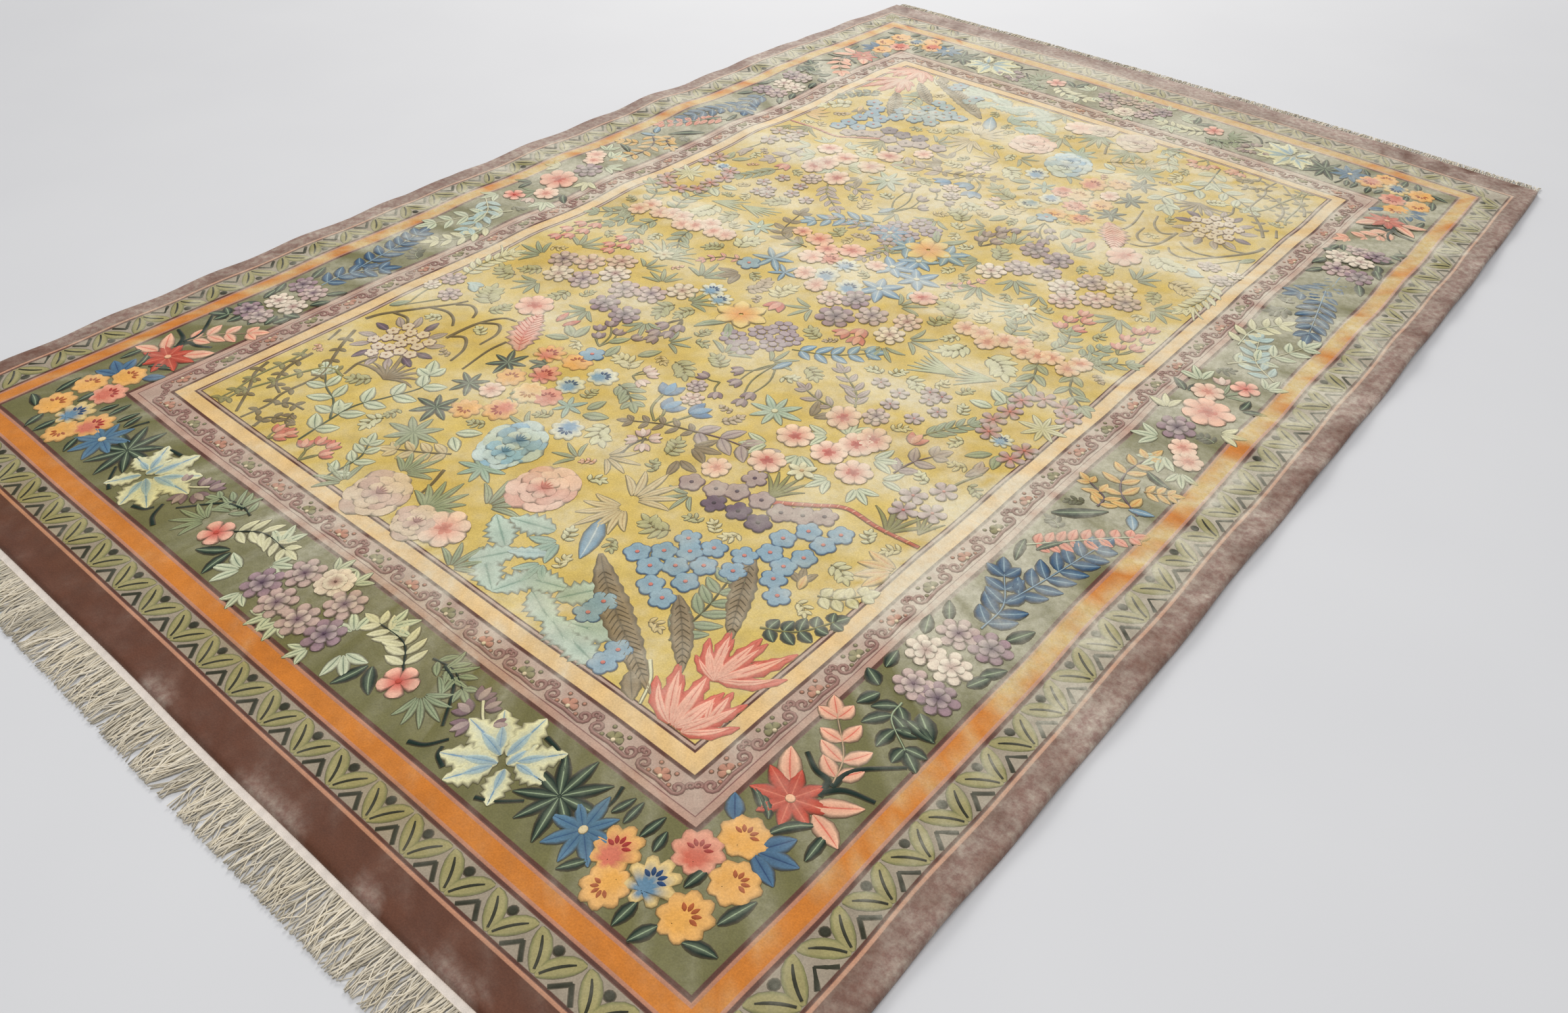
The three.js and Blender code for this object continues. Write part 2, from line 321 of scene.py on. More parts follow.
class Carving:
    """A growing mesh of small forms that share one ground, with a colour at each point."""

    def __init__(self, ground):
        self.ground = ground
        # painted shade: the cut slope round each form takes the ground darkened towards the groove
        # shade
        self.groove_shade = mixed(ground, GROOVE_SHADE, 0.7)
        self.points = []
        self.tints = []
        self.faces = []
        self.count = 0
        self.turn = 1  # -1 draws the design turned half round
        self.sign = np.ones(2)
        self.moved = np.zeros(2)

    def mirrored(self, axis, about=0.0):
        """Draws what follows as its mirror image across or along the rug, or as it is."""
        self.sign = np.array([-1 if axis == "u" else 1, -1 if axis == "v" else 1])
        self.moved = about * (1 - self.sign)

    def grid(self, points, tints, closed=False):
        """Rows and columns of points; a row's columns join round when it is closed."""
        rows, columns = points.shape[:2]
        index = np.arange(rows * columns).reshape(rows, columns) + self.count
        if closed:
            index = np.hstack([index, index[:, :1]])
        faces = quads(index)
        self.faces.append(faces if self.sign.prod() > 0 else faces[:, ::-1])
        flat = points.reshape(-1, 3).copy()
        flat[:, :2] = (flat[:, :2] * self.sign + self.moved) * self.turn
        self.points.append(flat)
        self.tints.append(np.broadcast_to(tints, points.shape).reshape(-1, 3))
        self.count += rows * columns

    def mesh(self, name, share=0.5, pale=0.0):
        """The mesh of all its forms. share is how far the painted sheen shows on them, and pale how
        far their yarns are taken towards silver as more painted sheen, more so in the far half."""
        points = np.concatenate(self.points)
        # painted sheen: the forms' yarns go towards silver, more so in the far half
        far = smoothstep(-0.4, 0.7, points[:, 1])
        tints = mixed(np.concatenate(self.tints), SILVER, pale * (0.35 + far))
        tints, sheen_share = painted_sheen(points, tints, share)
        return mesh_piece(name, laid(points), np.concatenate(self.faces), tints, sheen_share)


def mesh_piece(name, points, faces, tints, sheen_share):
    """A mesh with the attribute tint: its colour, painted sheen included, and in its alpha how much
    painted sheen it has.
    """
    mesh = bpy.data.meshes.new(name)
    mesh.from_pydata(points, [], faces)
    mesh.polygons.foreach_set("use_smooth", np.ones(len(faces), dtype=bool))
    attribute = mesh.attributes.new("tint", "FLOAT_COLOR", "POINT")
    values = np.column_stack([tints, sheen_share]).astype(np.float32)
    attribute.data.foreach_set("color", values.ravel())
    piece = bpy.data.objects.new(name, mesh)
    bpy.context.collection.objects.link(piece)
    return piece


# The forms that the design is made of

SKIRT = 1.5 * MM  # the cut slope round a form
FOOT = 0.05 * MM  # how high the slope ends over the ground
SMALL_DISC = 4 * MM  # a round of a smaller radius has fewer points
CREASE = 0.45  # how deep the creases between lobes are, as a share of the height
LEAF_SHARES = np.array([0, 0.14, 0.38, 0.64, 0.85, 1.0])
LEAF_WIDTHS = np.array([0.1, 0.62, 1.0, 0.86, 0.46, 0.03])
PETAL_SHARES = np.array([0, 0.4, 0.74, 0.93, 1.0])
ROUND_WIDTHS = np.array([0.2, 0.74, 1.0, 0.7, 0.2])
POINTED_WIDTHS = np.array([0.3, 0.95, 0.82, 0.34, 0.03])
PLAIN_SECTION = [  # share of the half width, share of the height
    (-1, 0),
    (-1, 0.35),
    (-0.7, 1),
    (0, 0.9),
    (0.7, 1),
    (1, 0.35),
    (1, 0),
]
VEINED_SECTION = [
    (-1, 0),
    (-1, 0.3),
    (-0.66, 0.95),
    (-0.13, 0.9),
    (0, 0.5),
    (0.13, 0.9),
    (0.66, 0.95),
    (1, 0.3),
    (1, 0),
]


def direction(degrees):
    return np.array([math.cos(math.radians(degrees)), math.sin(math.radians(degrees))])


def heading_of(step):
    """The heading of a step (u, v), in degrees."""
    return math.degrees(math.atan2(step[1], step[0]))


def arc(base, heading, length, bend, shares):
    """Points at given shares of a curved line that leaves base at a heading, in degrees."""
    fine = np.linspace(0, 1, 25)
    angles = np.radians(heading + bend * (fine - 0.5))
    steps = np.stack([np.cos(angles), np.sin(angles)], 1) * length / 24
    line = np.vstack([[0, 0], np.cumsum(steps[:-1], 0)]) + base
    return np.stack([np.interp(shares, fine, line[:, k]) for k in (0, 1)], 1)


def smooth_line(corners, steps):
    """A smooth curve through a few places, with a number of steps between each two."""
    corners = np.asarray(corners, float)
    padded = np.vstack([2 * corners[0] - corners[1], corners, 2 * corners[-1] - corners[-2]])
    t = np.linspace(0, 1, steps, endpoint=False)[:, None]
    runs = []
    for k in range(len(corners) - 1):
        a, b, c, d = padded[k : k + 4]
        run = 2 * b + (c - a) * t + (2 * a - 5 * b + 4 * c - d) * t**2
        runs.append((run + (3 * b - a - 3 * c + d) * t**3) / 2)
    return np.vstack(runs + [corners[-1:]])


def on_line(line, share):
    """The place at a share of a line's steps."""
    run = np.linspace(0, 1, len(line))
    return np.array([np.interp(share, run, line[:, k]) for k in (0, 1)])


def blade(carving, spine, widths, body, rise=0.8 * MM, level=0.0, rim=None, vein=None):
    """A low form along a spine: a petal, a leaf or a stem. Widths are half widths."""
    tangent = np.gradient(spine, axis=0)
    tangent /= np.linalg.norm(tangent, axis=1, keepdims=True) + 1e-9
    left = np.stack([-tangent[:, 1], tangent[:, 0]], 1)
    section = PLAIN_SECTION if vein is None else VEINED_SECTION
    last = len(section) - 1
    body = np.broadcast_to(body, (len(spine), 3))
    # painted shade: unless a rim is given, the rim is the body darkened towards the groove shade
    rim = mixed(body, GROOVE_SHADE, 0.7) if rim is None else np.broadcast_to(rim, body.shape)
    taper = np.sqrt(np.clip(widths / widths.max(), 0, 1))
    points = np.zeros((len(spine), last + 1, 3))
    tints = np.zeros_like(points)
    for k, (share, height) in enumerate(section):
        outside = k in (0, last)
        reach = widths * share + (SKIRT * share if outside else 0)
        points[:, k, :2] = spine + left * reach[:, None]
        points[:, k, 2] = FOOT if outside else level + 0.1 * MM + rise * height * taper
        # painted shade on the cut slope round the form
        if outside:
            tints[:, k] = carving.groove_shade
        elif k in (1, last - 1):
            tints[:, k] = rim
        elif vein is not None and share == 0:
            tints[:, k] = vein
        elif vein is not None and abs(share) < 0.2:
            tints[:, k] = mixed(body, vein, 0.25)
        else:
            tints[:, k] = body
    carving.grid(points, tints)


def petal_tints(base, tip, shares):
    return mixed(base, tip, smoothstep(0.1, 0.75, shares))


def disc(carving, centre, radius, tint, rise=0.85 * MM, level=0.0, lobes=0, notch=0.0, turn=0.0,
         heart=None, rim=None, lean=0.0):
    """A low round, or a round with a lobed edge and creases between its lobes. Its heart can
    lean to the side opposite its turn."""
    small = radius < SMALL_DISC
    count = max(8 if small else 10, (6 if lobes == 5 else 4) * lobes)
    angles = np.linspace(0, 2 * math.pi, count, endpoint=False)
    wave = np.abs(np.cos(lobes * (angles - math.radians(turn)) / 2)) if lobes else np.ones(count)
    edge = radius * (1 - notch * (1 - wave**0.6))
    crease = 1 - CREASE * (1 - wave) if lobes else np.ones(count)
    # painted shade: unless a rim is given, the rim is the tint darkened towards the groove shade
    rim = mixed(tint, GROOVE_SHADE, 0.6) if rim is None else rim
    heart = tint if heart is None else heart
    rings = [  # share of the edge, height share, tint
        (0.02, 0.9, heart),
        (0.34, 0.95, heart),
        (0.64, 1.0, mixed(tint, heart, 0.4)),
        (0.88, 0.85, tint),
        (1.0, 0.3, rim),
    ]
    if small:
        rings = [rings[0], rings[3], rings[4]]
    points = np.zeros((len(rings) + 1, count, 3))
    tints = np.zeros_like(points)
    shift = -direction(turn + 90) * radius * lean
    for k, (share, height, colour) in enumerate(rings):
        points[k, :, 0] = centre[0] + shift[0] * (1 - share) + np.cos(angles) * edge * share
        points[k, :, 1] = centre[1] + shift[1] * (1 - share) + np.sin(angles) * edge * share
        deep = crease if share > 0.5 else 1
        points[k, :, 2] = level + 0.1 * MM + rise * height * deep
        tints[k] = colour
    points[-1, :, 0] = centre[0] + np.cos(angles) * (edge + SKIRT)
    points[-1, :, 1] = centre[1] + np.sin(angles) * (edge + SKIRT)
    points[-1, :, 2] = FOOT
    # painted shade on the cut slope round the disc
    tints[-1] = carving.groove_shade
    carving.grid(points, tints, closed=True)


def leaf(carving, base, heading, length, width, body, vein=None, bend=0, level=0.0, rim=None,
         teeth=0, cut=0.26):
    """A leaf from its base along a heading, width being its full width; teeth is how many
    points each edge has and cut how deep they go."""
    if teeth:
        shares = np.linspace(0, 1, 2 * teeth + 1)
        widths = np.interp(shares, LEAF_SHARES, LEAF_WIDTHS) * width / 2
        widths[1:-1:2] *= 1.1
        widths[2:-1:2] *= 1.1 - 1.4 * cut
    else:
        shares = LEAF_SHARES
        widths = LEAF_WIDTHS * width / 2
    spine = arc(base, heading, length, bend, shares)
    body = mixed(body * 0.82, body * 1.08, shares)
    blade(carving, spine, widths, body, level=level, vein=vein, rim=rim)


def stem(carving, corners, width, tint, taper=0.5, steps=6):
    """A stem or branch through a few places, drawn out thinner to its tip."""
    spine = smooth_line(corners, steps)
    widths = np.linspace(width / 2, width / 2 * taper, len(spine))
    blade(carving, spine, widths, tint, rise=1.0 * MM)
    return spine


def flower(carving, centre, radius, petals, turn, look, level=0.9 * MM):
    """An open flower. A look names its petals' base and tip, heart, shape and plumpness."""
    base, tip, heart, heart_size, pointed, plump = look
    shape = POINTED_WIDTHS if pointed else ROUND_WIDTHS
    half = radius * math.tan(math.pi / petals) * plump
    tone = rng.uniform(0.94, 1.06)
    tints = petal_tints(base, tip * tone, PETAL_SHARES)
    for k in range(petals):
        heading = turn + 360 * k / petals + rng.uniform(-4, 4)
        start = centre + direction(heading) * radius * 0.08
        spine = arc(start, heading, radius * rng.uniform(0.88, 0.96), 0, PETAL_SHARES)
        blade(carving, spine, shape * half, tints, level=level + 0.2 * MM * (k % 2))
    if heart_size:
        disc(carving, centre, radius * heart_size, heart, rise=1.4 * MM, level=level)


SPRAY_START = 0.12  # the share of a spray's stem below its first leaves


def spray(carving, corners, leaves, length, width, stem_tint, body, vein=None, spread=48,
          stem_width=2.2 * MM, bend=18):
    """A stem with a leaf at its tip and pairs of leaves along it."""
    spine = stem(carving, corners, stem_width, stem_tint)
    for k in range(leaves):
        share = SPRAY_START + (0.97 - SPRAY_START) * k / max(1, leaves - 1)
        ahead = on_line(spine, min(1.0, share + 0.06))
        heading = heading_of(ahead - on_line(spine, max(0.0, share - 0.06)))
        size = length * (0.75 + 0.25 * math.sin(math.pi * min(1, share + 0.1)))
        for side in (-1, 1):
            lean = spread * side * rng.uniform(0.88, 1.12)
            leaf(carving, on_line(spine, share), heading + lean, size * rng.uniform(0.92, 1.08),
                 width, body, vein, bend=-bend * side, level=0.1 * MM * (k % 3))
    leaf(carving, spine[-1], heading_of(spine[-1] - spine[-3]), length * 0.9, width, body, vein)


def star_leaf(carving, centre, radius, leaflets, turn, body, vein, width=0.3, level=0.2 * MM):
    """Pointed leaflets spread from one place."""
    for k in range(leaflets):
        heading = turn + 360 * k / leaflets
        size = radius * rng.uniform(0.85, 1.08)
        leaf(carving, centre, heading, size, size * width, body, vein, level=level)


# The rug's base: its bands, its edges and its underside

STEPS_LONG = 140
STEPS_SHORT = 92
BAND_BLEND = 0.5 * MM  # two yarns meet over this much on either side of a line


def turn_round():
    """The columns and rows of one turn round a loop, anticlockwise."""
    near = [(i, 0) for i in range(STEPS_SHORT)]
    right = [(STEPS_SHORT, j) for j in range(STEPS_LONG)]
    far = [(i, STEPS_LONG) for i in range(STEPS_SHORT, 0, -1)]
    left = [(0, j) for j in range(STEPS_LONG, 0, -1)]
    return np.array(near + right + far + left)


def loop_places(half_u, near, far, height, cells):
    u = -half_u + 2 * half_u * cells[:, 0] / STEPS_SHORT
    v = near + (far - near) * cells[:, 1] / STEPS_LONG
    return np.stack([u, v, np.full(len(u), height)], 1)


def edge_loop(inwards, height):
    half_length = HALF_LENGTH - inwards
    centre = -PATTERN_CENTRE
    return HALF_WIDTH - inwards, centre - half_length, centre + half_length, height


def border_loop(side, end, height):
    half_length = PATTERN_HALF_LENGTH - end
    return PATTERN_HALF_WIDTH - side, -half_length, half_length, height


def base_loops():
    """The loops from the middle of the top outwards and round to the underside."""
    loops = []
    side = end = 0.0
    for _, width, end_width, yarn, depth in BORDER:
        middle = (side + width / 2) * MM, (end + end_width / 2) * MM
        loops.append((border_loop(side * MM + BAND_BLEND, end * MM + BAND_BLEND, 0), yarn))
        if depth:
            # painted shade: the bottom of a carved line is painted a fifth darker
            loops.append((border_loop(*middle, -depth * MM), yarn * 0.8))
        elif width < 6:
            loops.append((border_loop(*middle, 0.5 * MM), yarn))
        side += width
        end += end_width
        loops.append((border_loop(side * MM - BAND_BLEND, end * MM - BAND_BLEND, 0), yarn))
    loops.append((border_loop(side * MM + BAND_BLEND, end * MM + BAND_BLEND, 0), GOLD))
    edge = [  # in mm: how far in from the edge, height over the underside
        (30, 11.5),
        (18, 11.5),
        (9, 11.5),
        (5, 11.2),
        (2, 9.8),
        (0.3, 7.0),
        (0.0, 3.0),
        (0.6, 0.0),
    ]
    outside = [(border_loop(-BAND_BLEND, -BAND_BLEND, 0), BROWN)]
    for inwards, height in edge:
        outside.append((edge_loop(inwards * MM, height * MM - PILE_HEIGHT), BROWN))
    backing = [
        (edge_loop(5 * MM, -PILE_HEIGHT), COTTON * 0.7),
        (edge_loop(120 * MM, -PILE_HEIGHT), COTTON * 0.7),
    ]
    return loops[::-1] + outside + backing


def base_rug():
    loops = base_loops()
    ring = turn_round()
    points = [loop_places(*loop, ring) for loop, _ in loops]
    tints = [np.tile(yarn, (len(ring), 1)) for _, yarn in loops]
    around = len(ring)
    index = np.arange(around * len(loops)).reshape(len(loops), around)
    faces = [quads(np.hstack([index, index[:, :1]]))]
    count = around * len(loops)
    inner = [(i, j) for i in range(1, STEPS_SHORT) for j in range(1, STEPS_LONG)]
    inner = np.array(inner)
    for number in (0, len(loops) - 1):
        grid = np.zeros((STEPS_SHORT + 1, STEPS_LONG + 1), int)
        grid[ring[:, 0], ring[:, 1]] = number * around + np.arange(around)
        grid[inner[:, 0], inner[:, 1]] = count + np.arange(len(inner))
        count += len(inner)
        loop, yarn = loops[number]
        points.append(loop_places(*loop, inner))
        tints.append(np.tile(yarn, (len(inner), 1)))
        cells = quads(grid)
        faces.append(cells if number == 0 else cells[:, ::-1])
    points = np.concatenate(points)
    tints, sheen_share = painted_sheen(points, np.concatenate(tints), 1.0)
    return mesh_piece("pile_base", laid(points), np.concatenate(faces), tints, sheen_share)


# The end strips and their threads

THREAD_PITCH = 4.7 * MM
THREAD_RADIUS = 1.15 * MM
THREAD_STEPS = 10
THREAD_SIDES = 4
THREAD_WARM = shade(222, 206, 170)
THREAD_LENGTHS = (0.93, 1.0)  # as shares of the longest
THREAD_THICKNESS = (0.8, 1.1)  # as shares of the radius above
LEAN_ALIKE = 0.15  # how far neighbours lean together
LEAN_APART = 0.20  # how far each leans by itself
CURL = (0.01, 0.08)  # how far a thread swings aside, as a share of its length
CURLIEST = 0.8  # past this share of the threads the swing is twice as far
CURL_WAVES = (0.5, 1.6)
CURL_FROM = (0.06, 0.4)  # the share of its length where a thread begins to swing
STRIP_DROP = 1.4 * MM  # how far the threads come down from their strip
TANGLE_HEIGHT = 3.4 * MM  # how high the threads lie over each other
STRIP_COLUMNS = 520
STRIP_SECTION = [  # share of the strip's width from its outer edge, height in mm
    (0.00, 0.0),
    (0.00, 2.2),
    (0.12, 3.0),
    (0.20, 2.6),
    (0.32, 3.6),
    (0.60, 4.2),
    (0.90, 4.4),
    (1.10, 4.0),
    (1.10, 0.0),
]


def end_edge(side):
    """The place v of the pile's end, at the near side -1 or the far side 1."""
    return side * HALF_LENGTH - PATTERN_CENTRE


def end_strip(name, side):
    """The flat-woven strip at one end of the pile, waved a little along its outer edge."""
    half = HALF_WIDTH - 2 * MM
    u = np.linspace(-half, half, STRIP_COLUMNS)
    strip = Carving(COTTON)
    section = STRIP_SECTION if side < 0 else STRIP_SECTION[::-1]
    points = np.zeros((len(u), len(section), 3))
    outer = end_edge(side) + side * (SEAM_GAP + STRIP_WIDTH)
    for k, (share, height) in enumerate(section):
        wave = 0.5 * MM * ripples(u, 0 * u, 0.05, 51)
        bumps = 0.25 * MM * np.sin(2 * math.pi * u / THREAD_PITCH) if 0 < share < 0.3 else 0
        points[:, k, 0] = u
        points[:, k, 1] = outer - side * (share * STRIP_WIDTH + wave * (share < 0.5))
        points[:, k, 2] = height * MM + (bumps if height else 0) - PILE_HEIGHT
    tints = np.tile(WEB, (len(u), len(section), 1))
    tints *= (1 + 0.05 * ripples(u, 0 * u, 0.02, 52))[:, None, None]
    strip.grid(points, tints, closed=True)
    faces = strip.faces[0].tolist()
    for row, order in ((0, 1), (len(u) - 1, -1)):
        first = row * len(section)
        for k in range(1, len(section) - 1):
            faces.append([first, first + k, first + k + 1][::order])
    tints = strip.tints[0]
    return mesh_piece(name, laid(strip.points[0]), faces, tints, np.zeros(len(tints)))


def threads(name, side, length, seed, bunch):
    """The warp threads of one end, a bunch from each root, straight at first, then tangled."""
    draw = np.random.default_rng(seed)
    half = HALF_WIDTH - 4 * MM
    roots = np.arange(-half, half, THREAD_PITCH)
    offsets = np.linspace(-0.9, 0.9, bunch) * MM
    roots = np.repeat(roots, bunch) + np.tile(offsets, len(roots))
    many = len(roots)
    t = np.linspace(0, 1, THREAD_STEPS + 1)[None, :]
    reach = length * draw.uniform(*THREAD_LENGTHS, (many, 1))
    lean = LEAN_ALIKE * ripples(roots, 0 * roots, 0.05, seed + 1)
    lean = lean + draw.normal(0, LEAN_APART, many)
    curl = length * draw.uniform(*CURL, (many, 1))
    curl = curl * np.where(draw.uniform(0, 1, (many, 1)) > CURLIEST, 2, 1)
    turns = draw.uniform(*CURL_WAVES, (many, 1))
    phase = draw.uniform(0, 2 * math.pi, (many, 1))
    free = smoothstep(*CURL_FROM, t)
    drift = lean[:, None] * t**1.5 * reach
    drift = drift + curl * free * np.sin(2 * math.pi * turns * t + phase)
    u = np.clip(roots[:, None] + drift, -HALF_WIDTH, HALF_WIDTH)
    start = end_edge(side) + side * (SEAM_GAP + STRIP_WIDTH - 1 * MM)
    v = start + side * reach * t
    layer = draw.uniform(0, 1, (many, 1))
    height = THREAD_RADIUS + 0.1 * MM + STRIP_DROP * (1 - t) ** 3
    height = height + TANGLE_HEIGHT * layer * np.sin(math.pi * np.clip(t * 0.85, 0, 1)) ** 2
    radius = THREAD_RADIUS * draw.uniform(*THREAD_THICKNESS, (many, 1)) * (1 - 0.35 * t**3)
    spin = np.linspace(0, 2 * math.pi, THREAD_SIDES, endpoint=False) + math.pi / 4
    points = np.zeros((many, THREAD_STEPS + 1, THREAD_SIDES, 3))
    across = u[..., None] + radius[..., None] * np.cos(spin)
    points[..., 0] = across.clip(-HALF_WIDTH, HALF_WIDTH)
    points[..., 1] = v[..., None]
    points[..., 2] = height[..., None] + radius[..., None] * np.sin(spin) - PILE_HEIGHT
    # painted shade: threads lying lower, under the others, are darker; on top, each thread's tone
    # differs at random
    tone = (0.48 + 0.6 * layer)[..., None, None] * draw.uniform(0.9, 1.1, (many, 1, 1, 1))
    warm = draw.uniform(0, 1, (many, 1, 1))
    tints = mixed(COTTON, THREAD_WARM, warm * 0.5) * tone
    tints = np.broadcast_to(tints, points.shape)
    count = (THREAD_STEPS + 1) * THREAD_SIDES
    index = np.arange(count).reshape(THREAD_STEPS + 1, THREAD_SIDES)
    one = quads(np.hstack([index, index[:, :1]]).T)
    one = np.vstack([one, index[0][::-1], index[-1]])
    if side > 0:
        one = one[:, ::-1]
    faces = (one[None] + count * np.arange(many)[:, None, None]).reshape(-1, 4)
    flat = points.reshape(-1, 3)
    return mesh_piece(name, laid(flat), faces, tints.reshape(-1, 3), np.zeros(len(flat)))


# Materials

def feed(material, node, inputs):
    """Sets a node's inputs, each a value or another node with the name of its output."""
    for socket, source in inputs.items():
        if isinstance(source, tuple) and isinstance(source[0], bpy.types.Node):
            output = source[0].outputs[source[1]]
            material.node_tree.links.new(output, node.inputs[socket])
        else:
            node.inputs[socket].default_value = source


def add_node(material, kind, inputs, **settings):
    node = material.node_tree.nodes.new(kind)
    for name, value in settings.items():
        setattr(node, name, value)
    feed(material, node, inputs)
    return node


def node_material(name):
    material = bpy.data.materials.new(name)
    material.use_nodes = True
    material.node_tree.nodes.clear()
    shader = add_node(material, "ShaderNodeBsdfPrincipled", {})
    add_node(material, "ShaderNodeOutputMaterial", {"Surface": (shader, "BSDF")})
    return material, shader


def noise(material, place, scale, detail, rough=0.5):
    inputs = {"Scale": scale, "Detail": detail, "Roughness": rough, "Vector": (place, "Object")}
    return add_node(material, "ShaderNodeTexNoise", inputs)


def spread(material, source, low, high):
    """A noise's middle range as low to high."""
    inputs = {"From Min": 0.25, "From Max": 0.75, "To Min": low, "To Max": high}
    return add_node(material, "ShaderNodeMapRange", {**inputs, "Value": (source, "Fac")})


def yarn_material(name, fine, coarse, fine_swing, coarse_swing, rough, sheen):
    """Yarn in the colour of the attribute tint, flecked at two scales, with painted glints towards
    silver where the tint's alpha holds painted sheen.
    """
    material, shader = node_material(name)
    place = add_node(material, "ShaderNodeTexCoord", {})
    tint = add_node(material, "ShaderNodeAttribute", {}, attribute_name="tint")
    tuft = noise(material, place, fine, 3.0, 0.6)
    patch = noise(material, place, coarse, 6.0, 0.72)
    # painted glints: streaky noise takes the colour towards SILVER as far as the tint's alpha, its
    # painted sheen share, allows
    streak = noise(material, place, coarse * 3, 4.0, 0.65)
    flecks = spread(material, tuft, 1 - fine_swing, 1 + fine_swing)
    patches = spread(material, patch, 1 - coarse_swing, 1 + coarse_swing)
    glint = spread(material, streak, -0.25, 0.7)
    uneven = spread(material, patch, rough - 0.07, rough + 0.07)
    tone = add_node(material, "ShaderNodeMath", {0: (flecks, "Result"), 1: (patches, "Result")},
                    operation="MULTIPLY")
    colour = add_node(material, "ShaderNodeVectorMath", {0: (tint, "Color"), "Scale": (tone, 0)},
                      operation="SCALE")
    glinting = add_node(material, "ShaderNodeMath", {0: (glint, "Result"), 1: (tint, "Alpha")},
                        operation="MULTIPLY", use_clamp=True)
    layers = {"Factor": (glinting, 0), "A": (colour, 0), "B": (*SILVER, 1)}
    silvery = add_node(material, "ShaderNodeMix", layers, data_type="RGBA")
    raised = {"Strength": 0.4, "Distance": 1.2 * MM, "Height": (tuft, "Fac")}
    feed(material, shader, {
        "Base Color": (silvery, "Result"),
        "Roughness": (uneven, "Result"),
        "Specular IOR Level": 0.22,
        "Sheen Weight": sheen,
        "Sheen Roughness": 0.35,
        "Sheen Tint": (1.0, 0.97, 0.92, 1.0),
        "Normal": (add_node(material, "ShaderNodeBump", raised), "Normal"),
    })
    return material


def floor_material():
    material, shader = node_material("floor_paper")
    grain = noise(material, add_node(material, "ShaderNodeTexCoord", {}), 3.0, 2.0)
    greys = {"Factor": (grain, "Fac"), "A": (0.70, 0.70, 0.71, 1), "B": (0.74, 0.74, 0.745, 1)}
    tone = add_node(material, "ShaderNodeMix", greys, data_type="RGBA")
    feed(material, shader, {"Base Color": (tone, "Result"), "Roughness": 0.75})
    return material


# The camera, the floor and the light

def camera():
    data = bpy.data.cameras.new("camera")
    data.sensor_width = SENSOR_WIDTH
    data.sensor_fit = "HORIZONTAL"
    data.lens = SENSOR_WIDTH * PHOTO_FOCAL_PIXELS / PHOTO_WIDTH
    data.clip_start = 0.05
    place = bpy.data.objects.new("camera", data)
    place.location = np.array(CAMERA_PLACE) + (SHIFT_X, SHIFT_Y, 0)
    place.rotation_euler = Euler([math.radians(angle) for angle in CAMERA_TURN])
    bpy.context.collection.objects.link(place)
    bpy.context.scene.camera = place


def area_light(name, place, size, watts, colour):
    """A rectangular light that shines at the middle of the rug."""
    data = bpy.data.lights.new(name, "AREA")
    data.shape = "RECTANGLE"
    data.size, data.size_y = size
    data.energy = watts
    data.color = colour
    light = bpy.data.objects.new(name, data)
    light.location = place
    light.rotation_euler = (-Vector(place)).to_track_quat("-Z", "Y").to_euler()
    bpy.context.collection.objects.link(light)


FLOOR_REACH = 9.0
FLOOR_DROP = 0.3 * MM  # how far the floor lies below the rug's underside


def floor():
    signs = [(-1, -1), (1, -1), (1, 1), (-1, 1)]
    mesh = bpy.data.meshes.new("floor")
    corners = [(x * FLOOR_REACH, y * FLOOR_REACH, -FLOOR_DROP) for x, y in signs]
    mesh.from_pydata(corners, [], [(0, 1, 2, 3)])
    mesh.materials.append(floor_material())
    piece = bpy.data.objects.new("floor", mesh)
    bpy.context.collection.objects.link(piece)


def studio():
    world = bpy.data.worlds.new("studio")
    world.use_nodes = True
    background = world.node_tree.nodes["Background"]
    background.inputs["Color"].default_value = (0.93, 0.95, 1.0, 1)
    background.inputs["Strength"].default_value = 0.42
    bpy.context.scene.world = world
    bpy.context.scene.view_settings.view_transform = "Standard"
    area_light("window", (-4.2, 5.8, 3.8), (4.2, 2.6), 400, (1.0, 0.98, 0.95))
    area_light("top", (0.6, -1.2, 3.6), (3.0, 3.0), 60, (1.0, 0.99, 0.97))


camera()


# The yarns of the design

PALE = shade(226, 220, 178)
WHITE_LEAF = shade(216, 220, 184)
GREY_LEAF = shade(186, 190, 148)
GREY_VEIN = shade(116, 120, 90)
GREEN = shade(10, 38, 28)
GREEN_VEIN = shade(168, 184, 146)
DARK_STEM = shade(72, 92, 66)
RED = shade(196, 78, 62)
TAN = shade(170, 148, 104)
BROWN_LEAF = shade(150, 128, 94)
BROWN_STEM = shade(110, 90, 44)
OLIVE_STEM = shade(140, 136, 74)
FLAME_HEART = shade(246, 186, 158)
FLAME_RIM = shade(232, 140, 116)
BLUE_HEART = (shade(168, 188, 186), shade(112, 146, 172))
BLUE_RIM = shade(190, 202, 186)

